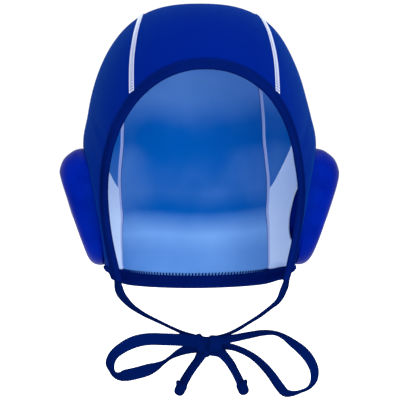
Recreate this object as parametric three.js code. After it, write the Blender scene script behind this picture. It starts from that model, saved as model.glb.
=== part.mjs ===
// Water polo cap: three cloth panels, taped edges, two moulded ear guards and a chin tie in a bow.
// Millimetres, +Z up. The face opening looks along -Y and the origin is the inside top of the crown.
import * as THREE from 'three';

// Head form: the surface that the inside of the cloth lies on. Levels are measured down from the crown.
const headHalfWidth = 80;
const frontDepth = 98;
const backDepth = 103;
const widestLevel = 100;
const napeLevel = 204.7;
const napeHalfWidth = 60;
const napeDepth = 80;
const planPower = 2.2;
const wallPower = 2.87;
const crownPower = 1.9;
const taperPower = 1.25;

// Cloth and what is sewn to it.
const clothThickness = 1.2;
const layerGap = 0.4;
const seamSlot = 1.4;
const seamBandWidth = 3.8;
const seamBandThickness = 0.7;
const seamInnerWidth = 3.2;
const tapeThickness = 1;
const faceTapeWidth = 7;
const napeTapeWidth = 9.4;
const napeTapeGap = 0.52;
const facingThickness = 1;

// Face opening: a half ellipse over the brow, then a cheek line down to the corner where the tie starts.
const faceTopLevel = 47.7;
const faceSpringLevel = 132;
const cheekInset = 13.4;
const faceHalfWidth = headHalfWidth - cheekInset;
const facePower = 2.1;
const cornerLevel = 193;
const cornerInset = 3;
const cornerHalfWidth = napeHalfWidth - cornerInset;
const cheekPower = 1.3;
const napePower = 1.6;

// Half width of the centre panel by pitch round the head: 0 is the face, 90 the crown, 180 the back.
const panelHalfWidth = 48.4;
const panelWidths = [
  { pitch: 10, share: 1.0 },
  { pitch: 40, share: 0.998 },
  { pitch: 56, share: 0.945 },
  { pitch: 73, share: 0.868 },
  { pitch: 95, share: 0.84 },
  { pitch: 130, share: 0.955 },
  { pitch: 160, share: 1.09 },
  { pitch: 185, share: 1.155 },
  { pitch: 250, share: 1.13 },
];

// Ear guard: a moulded cup whose neck passes out through the side panel and whose flange stays under it.
const guardCentreLevel = 142.2;
const guardFrontSpace = 6.9;
const guardHalfHeight = 43.2;
const guardHalfLength = 33;
const guardStandOff = 21.8;
const guardWall = 1.8;
const guardPower = 3;
const guardHoleClearance = 1;
const flangeWidth = 4.5;
const flangeThickness = 1.2;
const neckHeight = 3.8;

// Rings of the cup from its neck to its outer face, as shares of the guard's half sizes and stand-off.
const guardRings = [
  { up: 0.896, down: 0.99, half: 0.985, standUp: 0.408, standDown: 0.33 },
  { up: 0.792, down: 0.94, half: 0.94, standUp: 0.72, standDown: 0.492 },
  { up: 0.687, down: 0.863, half: 0.87, standUp: 0.908, standDown: 0.6 },
  { up: 0.549, down: 0.748, half: 0.75, standUp: 1.0, standDown: 0.652 },
  { up: 0.236, down: 0.435, half: 0.4, standUp: 0.927, standDown: 0.757 },
];
const guardFootShare = { up: 0.951, down: 0.91 };
const guardFaceShare = { down: 0.1, stand: 0.862 };

// Cloth lifts over the guard's flange and comes back to the head form further out.
const liftShare = { start: 1.14, end: 1.6 };

// Ear facing: the pale inner layer of the side panel, with a hole for the ear.
const facingTopLevel = 88;
const facingShoulderY = 42;
const facingBackLevel = 136;
const facingBackPitch = 200;
const facingClearance = 1.2;
const earHoleLevel = 145;
const earHoleHalfLength = 31;
const earHoleHalfHeight = 23;
const earHolePower = 2.3;

// Chin tie: flat tape, knotted in a bow in front of the chin.
const tieWidth = 7.8;
const tieThickness = 1.8;
const tieSlack = 7;
const tieStart = { x: 1.7, y: 1.7, z: -1.3 };
const tieEnd = { x: 0.772, y: 0.554, z: 0.595 };
const bowDrop = 43.2;
const bowForward = 63;
const bowShift = 1.8;
const bowReach = 70;
const tailDrop = 24;
const knotCentre = new THREE.Vector3(bowShift, -bowForward, -cornerLevel - bowDrop);
const knotHalf = new THREE.Vector3(9.2, 5.6, 7.4);
const endKnotHalf = new THREE.Vector3(4.2, 3.6, 5.4);

// Rows of the tapes' middle lines. roll turns the tape from flat to the front (0) to edge-on (90).
// Chin ties: along is the share of the straight line to the knot, x, y and z are shares of the slack.
const chinTieLeft = [
  { along: 0, x: 0, y: 0, z: 0, roll: 52 },
  { along: 0.08, x: -0.41, y: 0.23, z: -0.59, roll: 40 },
  { along: 0.15, x: -0.57, y: 0.28, z: -0.9, roll: 45 },
  { along: 0.26, x: -0.67, y: 0.3, z: -0.96, roll: 52 },
  { along: 0.43, x: -0.6, y: 0.27, z: -0.98, roll: 74 },
  { along: 0.58, x: -0.53, y: 0.21, z: -0.79, roll: 84 },
  { along: 0.73, x: -0.32, y: 0.15, z: -0.57, roll: 84 },
  { along: 0.87, x: -0.18, y: 0.08, z: -0.3, roll: 70 },
  { along: 1, x: 0, y: 0, z: 0, roll: 50 },
];
const chinTieRight = [
  { along: 0, x: 0, y: 0, z: 0, roll: -50 },
  { along: 0.1, x: 0.37, y: 0.26, z: -0.51, roll: -47 },
  { along: 0.18, x: 0.51, y: 0.33, z: -0.79, roll: -56 },
  { along: 0.28, x: 0.53, y: 0.33, z: -0.87, roll: -60 },
  { along: 0.46, x: 0.58, y: 0.32, z: -0.84, roll: -70 },
  { along: 0.6, x: 0.46, y: 0.24, z: -0.73, roll: -80 },
  { along: 0.74, x: 0.38, y: 0.17, z: -0.56, roll: -75 },
  { along: 0.87, x: 0.21, y: 0.08, z: -0.34, roll: -71 },
  { along: 1, x: 0, y: 0, z: 0, roll: -60 },
];

// Loops: shares of the bow's reach, from the knot's middle.
const bowLoopLeft = [
  { x: -0.126, y: -0.046, z: 0.023, roll: 0 },
  { x: -0.251, y: -0.071, z: 0.046, roll: 4 },
  { x: -0.409, y: -0.093, z: 0.061, roll: 6 },
  { x: -0.564, y: -0.107, z: 0.066, roll: 6 },
  { x: -0.7, y: -0.121, z: 0.047, roll: 8 },
  { x: -0.817, y: -0.136, z: -0.009, roll: 18 },
  { x: -0.91, y: -0.143, z: -0.087, roll: 34 },
  { x: -0.94, y: -0.136, z: -0.171, roll: 44 },
  { x: -0.917, y: -0.121, z: -0.249, roll: 42 },
  { x: -0.849, y: -0.1, z: -0.3, roll: 28 },
  { x: -0.754, y: -0.08, z: -0.309, roll: 14 },
  { x: -0.631, y: -0.063, z: -0.277, roll: 8 },
  { x: -0.486, y: -0.043, z: -0.206, roll: 28 },
  { x: -0.369, y: -0.026, z: -0.14, roll: 48 },
  { x: -0.249, y: -0.003, z: -0.071, roll: 44 },
  { x: -0.131, y: 0.01, z: -0.027, roll: 26 },
];
const bowLoopRight = [
  { x: 0.126, y: -0.046, z: 0.026, roll: -34 },
  { x: 0.276, y: -0.071, z: 0.057, roll: -52 },
  { x: 0.41, y: -0.093, z: 0.083, roll: -66 },
  { x: 0.556, y: -0.107, z: 0.103, roll: -74 },
  { x: 0.681, y: -0.121, z: 0.083, roll: -68 },
  { x: 0.801, y: -0.136, z: 0.014, roll: -48 },
  { x: 0.923, y: -0.143, z: -0.09, roll: -32 },
  { x: 0.997, y: -0.143, z: -0.197, roll: -32 },
  { x: 1.02, y: -0.137, z: -0.283, roll: -36 },
  { x: 0.991, y: -0.129, z: -0.366, roll: -42 },
  { x: 0.926, y: -0.12, z: -0.426, roll: -48 },
  { x: 0.849, y: -0.114, z: -0.46, roll: -50 },
  { x: 0.766, y: -0.106, z: -0.463, roll: -46 },
  { x: 0.693, y: -0.094, z: -0.431, roll: -34 },
  { x: 0.616, y: -0.08, z: -0.36, roll: -22 },
  { x: 0.529, y: -0.06, z: -0.263, roll: -18 },
  { x: 0.437, y: -0.04, z: -0.174, roll: -18 },
  { x: 0.34, y: -0.02, z: -0.1, roll: -18 },
  { x: 0.243, y: -0.003, z: -0.049, roll: -16 },
  { x: 0.136, y: 0.007, z: -0.02, roll: -12 },
];

// Tails: shares of their drop, from the knot's middle.
const tieTailLeft = [
  { x: -0.154, y: -0.096, z: -0.292, roll: 10 },
  { x: -0.279, y: -0.175, z: -0.467, roll: 12 },
  { x: -0.408, y: -0.225, z: -0.617, roll: 16 },
  { x: -0.517, y: -0.258, z: -0.8, roll: 18 },
  { x: -0.617, y: -0.275, z: -0.983, roll: 16 },
];
const tieTailRight = [
  { x: 0.196, y: -0.096, z: -0.292, roll: -10 },
  { x: 0.367, y: -0.175, z: -0.442, roll: -14 },
  { x: 0.533, y: -0.225, z: -0.592, roll: -18 },
  { x: 0.675, y: -0.258, z: -0.783, roll: -18 },
  { x: 0.808, y: -0.275, z: -1.008, roll: -14 },
];

const degrees = Math.PI / 180;

// Mesh counts. Both panels and the seam share their rows, so that their facets run side by side.
const seamRows = 28;
const panelColumns = 12;
const faceTapeSteps = 48;
const napeTapeSteps = 38;
const guardSides = 24;
const facingRays = 36;
const endCrowdingShare = 0.06;

// The form's cross-section at height z: half width, back depth, and how far it reaches under the crown.
function section(z) {
  const below = Math.max(0, -z - widestLevel) / (napeLevel - widestLevel);
  const taper = below ** taperPower;
  const rise = Math.max(0, z + widestLevel) / widestLevel;
  return {
    half: headHalfWidth - (headHalfWidth - napeHalfWidth) * taper,
    back: backDepth - (backDepth - napeDepth) * taper,
    rise,
    reach: Math.max(0, 1 - rise ** crownPower) ** (1 / wallPower),
  };
}

// Below zero inside the form, above zero outside it.
function formValue(point) {
  const at = section(point.z);
  const depth = point.y < 0 ? frontDepth : at.back;
  const across = Math.abs(point.x / at.half) ** planPower;
  const along = Math.abs(point.y / depth) ** planPower;
  return (across + along) ** (wallPower / planPower) + at.rise ** crownPower - 1;
}

function formGradient(point) {
  const step = 0.02;
  const slope = (dx, dy, dz) => {
    const ahead = point.clone().add(new THREE.Vector3(dx, dy, dz));
    const behind = point.clone().sub(new THREE.Vector3(dx, dy, dz));
    return (formValue(ahead) - formValue(behind)) / (2 * step);
  };
  return new THREE.Vector3(slope(step, 0, 0), slope(0, step, 0), slope(0, 0, step));
}

function formNormal(point) {
  return formGradient(point).normalize();
}

// Moves a point near the form onto it.
function seat(point) {
  const seated = point.clone();
  for (let round = 0; round < 24; round += 1) {
    const gradient = formGradient(seated);
    seated.addScaledVector(gradient, -formValue(seated) / gradient.lengthSq());
  }
  return seated;
}

function formY(x, z, towardsBack) {
  const at = section(z);
  const left = at.reach ** planPower - Math.abs(x / at.half) ** planPower;
  const depth = Math.max(0, left) ** (1 / planPower);
  return towardsBack ? at.back * depth : -frontDepth * depth;
}

function formX(y, z) {
  const at = section(z);
  const depth = y < 0 ? frontDepth : at.back;
  const left = at.reach ** planPower - Math.abs(y / depth) ** planPower;
  return at.half * Math.max(0, left) ** (1 / planPower);
}

// The point of the form at x on a ray from the head's axis at a pitch in degrees.
function pitchPoint(x, pitch) {
  const ray = new THREE.Vector3(0, -Math.cos(pitch * degrees), Math.sin(pitch * degrees));
  const start = new THREE.Vector3(x, 0, -widestLevel);
  let near = 0;
  let far = 2 * napeLevel;
  for (let round = 0; round < 40; round += 1) {
    const middle = (near + far) / 2;
    if (formValue(start.clone().addScaledVector(ray, middle)) < 0) near = middle;
    else far = middle;
  }
  return start.addScaledVector(ray, near);
}

function pitchOf(point) {
  const pitch = Math.atan2(point.z + widestLevel, -point.y) / degrees;
  return pitch < -90 ? pitch + 360 : pitch;
}

// Smooth reading of a table column.
function readTable(table, key, column, value) {
  let row = 0;
  while (row < table.length - 2 && table[row + 1][key] < value) row += 1;
  const before = table[Math.max(0, row - 1)];
  const start = table[row];
  const end = table[row + 1];
  const after = table[Math.min(table.length - 1, row + 2)];
  const span = end[key] - start[key];
  const t = THREE.MathUtils.clamp((value - start[key]) / span, 0, 1);
  const slopeIn = ((end[column] - before[column]) / (end[key] - before[key])) * span;
  const slopeOut = ((after[column] - start[column]) / (after[key] - start[key])) * span;
  const rise = end[column] - start[column];
  return start[column] + slopeIn * t + (3 * rise - 2 * slopeIn - slopeOut) * t ** 2
    + (slopeIn + slopeOut - 2 * rise) * t ** 3;
}

function seamHalf(pitch) {
  return panelHalfWidth * readTable(panelWidths, 'pitch', 'share', pitch);
}

// The face opening's cloth edge, by angle up from the side of the brow arch, or by level down the cheek.
function browPoint(angle) {
  const x = faceHalfWidth * Math.cos(angle) ** (2 / facePower);
  const z = (faceSpringLevel - faceTopLevel) * Math.sin(angle) ** (2 / facePower) - faceSpringLevel;
  return new THREE.Vector3(x, formY(x, z, false), z);
}

function cheekPoint(share) {
  const x = faceHalfWidth - (faceHalfWidth - cornerHalfWidth) * share ** cheekPower;
  const z = -faceSpringLevel - (cornerLevel - faceSpringLevel) * share;
  return new THREE.Vector3(x, formY(x, z, false), z);
}

const corner = cheekPoint(1);
const cornerAngle = Math.atan2(corner.x, corner.y);

// The guard's flange stands a named space behind the binding at the guard's own level.
const cheekShare = (guardCentreLevel - faceSpringLevel) / (cornerLevel - faceSpringLevel);
const guardFrontY = cheekPoint(Math.max(0, cheekShare)).y + faceTapeWidth + guardFrontSpace;
const guardCentreY = guardFrontY + flangeWidth + guardHalfLength;

// The cloth's lower edge, by angle round from the middle of the back.
function napePoint(angle) {
  const share = ((1 + Math.cos((Math.PI * angle) / cornerAngle)) / 2) ** napePower;
  const z = -cornerLevel - (napeLevel - cornerLevel) * share;
  const at = section(z);
  const depth = Math.cos(angle) > 0 ? at.back : frontDepth;
  const across = Math.abs(Math.sin(angle) / at.half) ** planPower;
  const along = Math.abs(Math.cos(angle) / depth) ** planPower;
  const radius = (across + along) ** (-1 / planPower);
  return new THREE.Vector3(radius * Math.sin(angle), radius * Math.cos(angle), z);
}

function browAngleAt(x) {
  return Math.acos((x / faceHalfWidth) ** (facePower / 2));
}

function napeAngleAt(x) {
  let near = 0;
  let far = Math.PI / 2;
  for (let round = 0; round < 40; round += 1) {
    const middle = (near + far) / 2;
    if (napePoint(middle).x < x) near = middle;
    else far = middle;
  }
  return near;
}

// Pitches where a line at a share of the panel's half width, plus an offset, starts and ends.
function pitchRange(share, offset) {
  const x = (pitch) => Math.abs(share * (seamHalf(pitch) + offset));
  let start = 25;
  let end = 240;
  for (let round = 0; round < 8; round += 1) {
    start = pitchOf(browPoint(browAngleAt(x(start))));
    end = pitchOf(napePoint(napeAngleAt(x(end))));
  }
  return { start, end };
}

// Shares from 0 to 1 that lie closer together towards both ends.
function endFine(step, count) {
  const share = step / count;
  return share - endCrowdingShare * Math.sin(2 * Math.PI * share);
}

function panelLine(share, offset, count) {
  const range = pitchRange(share, offset);
  const line = [];
  for (let row = 0; row <= count; row += 1) {
    const pitch = range.start + (range.end - range.start) * endFine(row, count);
    line.push(pitchPoint(share * (seamHalf(pitch) + offset), pitch));
  }
  return line;
}

// How far out from the guard's middle a point lies, as a share of the neck's outline.
function guardShare(y, z) {
  const up = z + guardCentreLevel;
  const halfHeight = guardHalfHeight * (up > 0 ? guardFootShare.up : guardFootShare.down);
  const along = Math.abs((y - guardCentreY) / guardHalfLength) ** guardPower;
  return (along + Math.abs(up / halfHeight) ** guardPower) ** (1 / guardPower);
}

function clothLift(point) {
  const share = guardShare(point.y, point.z);
  const away = THREE.MathUtils.smoothstep(share, liftShare.start, liftShare.end);
  return (flangeThickness + layerGap) * (1 - away);
}

function onForm(point, height) {
  return point.clone().addScaledVector(formNormal(point), height);
}

function onCloth(point, height) {
  return onForm(point, height + clothLift(point));
}

// A closed skin made of rings of points, with its faces turned outwards at the end.
class Skin {
  constructor() {
    this.points = [];
    this.faces = [];
  }

  ring(points) {
    const first = this.points.length;
    this.points.push(...points);
    return points.map((point, index) => first + index);
  }

  join(ringA, ringB) {
    ringA.forEach((a, index) => {
      const next = (index + 1) % ringA.length;
      this.faces.push([a, ringA[next], ringB[next]], [a, ringB[next], ringB[index]]);
    });
  }

  fan(ring, apex, reverse) {
    const tip = this.points.length;
    this.points.push(apex);
    ring.forEach((a, index) => {
      const b = ring[(index + 1) % ring.length];
      this.faces.push(reverse ? [b, a, tip] : [a, b, tip]);
    });
  }

  patch(ring, faces, reverse) {
    faces.forEach((face) => {
      const corners = face.map((index) => ring[index]);
      this.faces.push(reverse ? corners.reverse() : corners);
    });
  }

  geometry() {
    let volume = 0;
    this.faces.forEach(([a, b, c]) => {
      const cross = new THREE.Vector3().crossVectors(this.points[b], this.points[c]);
      volume += this.points[a].dot(cross);
    });
    const faces = volume < 0 ? this.faces.map((face) => [...face].reverse()) : this.faces;
    const geometry = new THREE.BufferGeometry();
    geometry.setAttribute('position', new THREE.Float32BufferAttribute(
      this.points.flatMap((point) => point.toArray()), 3));
    geometry.setIndex(faces.flat());
    geometry.computeVertexNormals();
    return geometry;
  }
}

// Rings joined one after the other, closed on themselves or ended with the triangles of their section.
function sweep(rings, endFaces) {
  const skin = new Skin();
  const indices = rings.map((ring) => skin.ring(ring));
  indices.slice(1).forEach((ring, index) => skin.join(indices[index], ring));
  if (endFaces) {
    skin.patch(indices[0], endFaces, true);
    skin.patch(indices[indices.length - 1], endFaces, false);
  } else {
    skin.join(indices[indices.length - 1], indices[0]);
  }
  return skin.geometry();
}

// The triangles of a flat section, turned the way its points run.
function sectionFaces(shape) {
  const faces = THREE.ShapeUtils.triangulateShape(shape, []);
  return THREE.ShapeUtils.isClockWise(shape) ? faces.map((face) => face.reverse()) : faces;
}

// The triangles of a strip whose ring runs along one edge and back along the other.
function stripFaces(width) {
  const faces = [];
  for (let index = 0; index < width - 1; index += 1) {
    const far = 2 * width - 1 - index;
    faces.push([index, index + 1, far - 1], [index, far - 1, far]);
  }
  return faces;
}

function mirrored(points, side) {
  return points.map((point) => new THREE.Vector3(point.x * side, point.y, point.z));
}

// Evenly spaced points of a line, after a length is cut from each end.
function resample(line, count, cutStart = 0, cutEnd = 0) {
  const lengths = [0];
  line.slice(1).forEach((point, index) => {
    lengths.push(lengths[index] + point.distanceTo(line[index]));
  });
  const total = lengths[lengths.length - 1];
  const spaced = [];
  for (let step = 0; step <= count; step += 1) {
    const target = cutStart + ((total - cutStart - cutEnd) * step) / count;
    let index = 0;
    while (index < line.length - 2 && lengths[index + 1] < target) index += 1;
    const share = (target - lengths[index]) / (lengths[index + 1] - lengths[index]);
    spaced.push(line[index].clone().lerp(line[index + 1], share));
  }
  return spaced;
}

// Sweeps a section along a line on the form. Section points are (distance into the cloth, height).
function sweepOnForm(line, sectionPoints, intoCloth) {
  const rings = line.map((point, index) => {
    const ahead = line[Math.min(index + 1, line.length - 1)];
    const behind = line[Math.max(index - 1, 0)];
    const tangent = ahead.clone().sub(behind).normalize();
    const inward = formNormal(seat(point)).cross(tangent).multiplyScalar(intoCloth);
    return sectionPoints.map(({ x, y }) => onCloth(seat(point.clone().addScaledVector(inward, x)), y));
  });
  return sweep(rings, sectionFaces(sectionPoints));
}

// Tape folded over a cloth edge: two legs of the tape's width and the fold between them.
function foldedTape(width, gap) {
  const leg = width - gap - tapeThickness;
  const over = clothThickness + gap;
  const under = -gap;
  const fold = -gap - tapeThickness;
  return [
    [leg, over + tapeThickness], [under, over + tapeThickness],
    [fold, over], [fold, under], [under, under - tapeThickness],
    [leg, under - tapeThickness], [leg, under],
    [leg / 2, under], [under, under], [under, over], [leg / 2, over], [leg, over],
  ].map(([x, y]) => new THREE.Vector2(x, y));
}

function centrePanel() {
  const lines = [];
  for (let column = 0; column <= panelColumns; column += 1) {
    lines.push(panelLine(2 * endFine(column, panelColumns) - 1, -seamSlot / 2, seamRows));
  }
  const rings = [];
  for (let row = 0; row <= seamRows; row += 1) {
    const across = lines.map((line) => line[row]);
    const outer = across.map((point) => onCloth(point, clothThickness));
    const inner = across.map((point) => onCloth(point, 0)).reverse();
    rings.push([...outer, ...inner]);
  }
  return sweep(rings, stripFaces(panelColumns + 1));
}

// The side panel's outline: down the seam from the brow, along the nape, and up the cheek and the brow.
function sideOutline(seamSteps, napeSteps, cheekSteps, browSteps) {
  const seam = panelLine(1, seamSlot / 2, seamSteps);
  const seamEnd = napeAngleAt(seam[seamSteps].x);
  const browEnd = browAngleAt(seam[0].x);
  const outline = [...seam];
  for (let step = 1; step <= napeSteps; step += 1) {
    outline.push(napePoint(seamEnd + ((cornerAngle - seamEnd) * step) / napeSteps));
  }
  for (let step = 1; step <= cheekSteps; step += 1) {
    outline.push(cheekPoint(1 - step / cheekSteps));
  }
  for (let step = 1; step < browSteps; step += 1) {
    outline.push(browPoint((browEnd * step) / browSteps));
  }
  return outline;
}

// The neck's outline grown by a clearance, in the direction of a point.
function neckPoint(towards, clearance) {
  const dy = towards.y - guardCentreY;
  const dz = towards.z + guardCentreLevel;
  const share = guardShare(towards.y, towards.z);
  const grow = 1 / share + clearance / Math.hypot(dy, dz);
  const y = guardCentreY + dy * grow;
  const z = dz * grow - guardCentreLevel;
  return new THREE.Vector3(formX(y, z), y, z);
}

function sidePanel(side) {
  const rows = [0, 0.1, 0.24, 0.42, 0.63, 0.84, 1];
  const rings = sideOutline(seamRows, 11, 7, 8).map((edge) => {
    const rim = neckPoint(edge, guardHoleClearance);
    const across = rows.map((share) => seat(rim.clone().lerp(edge, share)));
    const outer = across.map((point) => onCloth(point, clothThickness));
    const inner = across.map((point) => onCloth(point, 0)).reverse();
    return mirrored([...outer, ...inner], side);
  });
  return sweep(rings);
}

// Flatlock seam: a thread band outside and inside, joined through the slot between the panels.
function seam(side) {
  const reach = seamBandWidth / 2 + 2 * layerGap - tapeThickness;
  const face = faceEdge();
  const nape = napeEdge();
  const clear = (point) => distanceTo(face, point) > faceTapeWidth + reach
    && distanceTo(nape, point) > napeTapeWidth + reach;
  const fine = panelLine(1, 0, 10 * seamRows).filter(clear);
  const rows = panelLine(1, 0, seamRows).filter(clear);
  const route = [fine[0], ...rows.slice(1, -1), fine[fine.length - 1]];
  const web = seamSlot / 2 - layerGap;
  const over = clothThickness + layerGap;
  const under = -layerGap;
  const outerHalf = seamBandWidth / 2;
  const innerHalf = seamInnerWidth / 2;
  const shape = [
    [outerHalf, over], [outerHalf, over + seamBandThickness],
    [-outerHalf, over + seamBandThickness], [-outerHalf, over],
    [-web, over], [-web, under], [-innerHalf, under], [-innerHalf, under - seamBandThickness],
    [innerHalf, under - seamBandThickness], [innerHalf, under], [web, under], [web, over],
  ].map(([x, y]) => new THREE.Vector2(x, y));
  const geometry = sweepOnForm(route, shape, 1);
  return side > 0 ? geometry : mirrorGeometry(geometry);
}

function mirrorGeometry(geometry) {
  const position = geometry.getAttribute('position');
  for (let index = 0; index < position.count; index += 1) position.setX(index, -position.getX(index));
  const order = Array.from(geometry.getIndex().array);
  for (let index = 0; index < order.length; index += 3) {
    [order[index], order[index + 1]] = [order[index + 1], order[index]];
  }
  geometry.setIndex(order);
  geometry.computeVertexNormals();
  return geometry;
}

// The face opening's cloth edge from the brow's middle to the right corner.
function faceEdge() {
  const edge = [];
  for (let step = 0; step <= 60; step += 1) edge.push(browPoint((Math.PI / 2) * (1 - step / 60)));
  for (let step = 1; step <= 40; step += 1) edge.push(cheekPoint(step / 40));
  return edge;
}

function faceBinding() {
  const right = faceEdge();
  const left = mirrored(right.slice(1), -1).reverse();
  return sweepOnForm(resample([...left, ...right], faceTapeSteps), foldedTape(faceTapeWidth, layerGap), 1);
}

function napeEdge() {
  const edge = [];
  for (let step = -80; step <= 80; step += 1) {
    edge.push(napePoint((cornerAngle * Math.abs(step)) / 80));
    if (step < 0) edge[edge.length - 1].x *= -1;
  }
  return edge;
}

function napeBinding() {
  const cut = faceTapeWidth + layerGap;
  const line = resample(napeEdge(), napeTapeSteps, cut, cut);
  return sweepOnForm(line, foldedTape(napeTapeWidth, napeTapeGap), -1);
}

// A ring of the guard. Its outline leans, because the head form slants under it.
function guardRing(row, inset, count) {
  const up = guardHalfHeight * row.up - inset;
  const down = guardHalfHeight * row.down - inset;
  const half = guardHalfLength * row.half - inset;
  const topX = formX(guardCentreY, up - guardCentreLevel) + guardStandOff * row.standUp - inset;
  const lowX = formX(guardCentreY, -down - guardCentreLevel) + guardStandOff * row.standDown - inset;
  const points = [];
  for (let step = 0; step < count; step += 1) {
    const angle = (2 * Math.PI * step) / count;
    const across = Math.sign(Math.cos(angle)) * Math.abs(Math.cos(angle)) ** (2 / guardPower);
    const tall = Math.sign(Math.sin(angle)) * Math.abs(Math.sin(angle)) ** (2 / guardPower);
    const z = tall * (tall > 0 ? up : down);
    const x = lowX + ((topX - lowX) * (z + down)) / (up + down);
    points.push(new THREE.Vector3(x, guardCentreY + half * across, z - guardCentreLevel));
  }
  return points;
}

// A ring that follows the head form at a height, a distance out from the neck.
function guardFoot(grow, height, count) {
  const row = { ...guardFootShare, half: 1, standUp: 0, standDown: 0 };
  return guardRing(row, -grow, count).map((point) => {
    const seated = new THREE.Vector3(formX(point.y, point.z), point.y, point.z);
    return new THREE.Vector3(seated.x + height / formNormal(seated).x, point.y, point.z);
  });
}

function earGuard(side) {
  const count = guardSides;
  const outerFace = guardRings.map((row) => guardRing(row, 0, count));
  const innerFace = guardRings.map((row) => guardRing(row, guardWall, count));
  const rings = [
    ...outerFace.reverse(),
    guardFoot(0, neckHeight, count),
    guardFoot(0, flangeThickness, count),
    guardFoot(flangeWidth, flangeThickness, count),
    guardFoot(flangeWidth, 0, count),
    guardFoot(-guardWall, 0, count),
    guardFoot(-guardWall, neckHeight - guardWall, count),
    ...innerFace,
  ];
  const faceZ = -guardCentreLevel - guardHalfHeight * guardFaceShare.down;
  const faceX = formX(guardCentreY, faceZ) + guardStandOff * guardFaceShare.stand;
  const skin = new Skin();
  const indices = rings.map((ring) => skin.ring(mirrored(ring, side)));
  indices.slice(1).forEach((ring, index) => skin.join(indices[index], ring));
  skin.fan(indices[0], new THREE.Vector3(faceX * side, guardCentreY, faceZ), true);
  const innerTip = new THREE.Vector3((faceX - guardWall) * side, guardCentreY, faceZ);
  skin.fan(indices[indices.length - 1], innerTip, false);
  return skin.geometry();
}

function distanceTo(line, point) {
  return Math.min(...line.map((other) => other.distanceTo(point)));
}

function earFacing(side) {
  const face = faceEdge();
  const nape = napeEdge();
  const seamLine = panelLine(1, 0, 90);
  const seamY = pitchPoint(seamHalf(facingBackPitch), facingBackPitch).y;
  const covers = (point) => {
    const share = Math.max(0, (point.y - facingShoulderY) / (seamY - facingShoulderY));
    const top = -facingTopLevel - (facingBackLevel - facingTopLevel) * share;
    return point.z < top && distanceTo(face, point) > faceTapeWidth + facingClearance
      && distanceTo(nape, point) > napeTapeWidth + facingClearance
      && distanceTo(seamLine, point) > seamInnerWidth / 2 + facingClearance
      && point.x > seamHalf(pitchOf(point));
  };
  const rows = [0, 0.5, 1];
  const rings = [];
  for (let step = 0; step < facingRays; step += 1) {
    const angle = (2 * Math.PI * step) / facingRays;
    const ray = new THREE.Vector2(Math.cos(angle), Math.sin(angle));
    const along = (reach) => {
      const y = guardCentreY + ray.x * reach;
      const z = ray.y * reach - earHoleLevel;
      return new THREE.Vector3(formX(y, z), y, z);
    };
    const rim = (Math.abs(ray.x / earHoleHalfLength) ** earHolePower
      + Math.abs(ray.y / earHoleHalfHeight) ** earHolePower) ** (-1 / earHolePower);
    let reach = rim;
    while (covers(along(reach + 0.5))) reach += 0.5;
    const across = rows.map((share) => along(rim + (reach - rim) * share));
    const outer = across.map((point) => onForm(point, -layerGap));
    const inner = across.map((point) => onForm(point, -layerGap - facingThickness)).reverse();
    rings.push(mirrored([...outer, ...inner], side));
  }
  return sweep(rings);
}

function row3(row, size) {
  return new THREE.Vector3(row.x, row.y, row.z).multiplyScalar(size);
}

// A chin tie hangs below the straight line from under the corner to the back of the knot.
function chinRoute(rows, side) {
  const start = new THREE.Vector3((corner.x + tieStart.x) * side, corner.y + tieStart.y, corner.z + tieStart.z);
  const end = knotCentre.clone().add(new THREE.Vector3(
    knotHalf.x * tieEnd.x * side, knotHalf.y * tieEnd.y, knotHalf.z * tieEnd.z));
  return rows.map((row) => ({
    place: start.clone().lerp(end, row.along).add(row3(row, tieSlack)), roll: row.roll,
  }));
}

// A loop or a tail is laid out from the knot's middle.
function bowRoute(rows, size) {
  return rows.map((row) => ({ place: knotCentre.clone().add(row3(row, size)), roll: row.roll }));
}

// Flat tape along a route, thinner towards its two selvedges.
function tape(route, steps) {
  const curve = new THREE.CatmullRomCurve3(route.map(({ place }) => place));
  const rollAt = (share) => {
    const place = share * (route.length - 1);
    const row = Math.min(Math.floor(place), route.length - 2);
    return THREE.MathUtils.lerp(route[row].roll, route[row + 1].roll, place - row) * degrees;
  };
  const half = tieWidth / 2;
  const edge = half - tieThickness / 2;
  const thick = tieThickness / 2;
  const shape = [
    [half, 0], [edge, thick], [-edge, thick], [-half, 0], [-edge, -thick], [edge, -thick],
  ].map(([x, y]) => new THREE.Vector2(x, y));
  const rings = [];
  for (let step = 0; step <= steps; step += 1) {
    const share = step / steps;
    const centre = curve.getPoint(share);
    const tangent = curve.getTangent(share);
    const flat = new THREE.Vector3(0, -1, 0).cross(tangent).normalize();
    const depth = tangent.clone().cross(flat).normalize();
    const wide = flat.clone().multiplyScalar(Math.cos(rollAt(share)))
      .addScaledVector(depth, Math.sin(rollAt(share)));
    const thin = tangent.clone().cross(wide).normalize();
    rings.push(shape.map(({ x, y }) => centre.clone().addScaledVector(wide, x).addScaledVector(thin, y)));
  }
  return sweep(rings, sectionFaces(shape));
}

// A pulled knot: a rounded lump of tape.
function knot(half) {
  return new THREE.SphereGeometry(1, 12, 8).scale(half.x, half.y, half.z);
}

// The knot at a tail's end stands in line with the tail.
function addEndKnot(name, route) {
  const [before, last] = route.slice(-2).map(({ place }) => place);
  const along = last.clone().sub(before).normalize();
  const mesh = add(name, knot(endKnotHalf), tapeNavy);
  mesh.position.copy(last).addScaledVector(along, endKnotHalf.z + layerGap);
  mesh.quaternion.setFromUnitVectors(new THREE.Vector3(0, 0, -1), along);
}

const cap = new THREE.Group();

function add(name, geometry, colour, roughness = 0.8) {
  const material = new THREE.MeshStandardMaterial({ color: colour, roughness, metalness: 0 });
  const mesh = new THREE.Mesh(geometry, material);
  mesh.name = name;
  cap.add(mesh);
  return mesh;
}

const clothBlue = 0x041f93;
const tapeNavy = 0x041b6e;
const seamWhite = 0xb6c5e2;
const guardBlue = 0x021b94;
const facingPale = 0x98b6f6;

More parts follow.
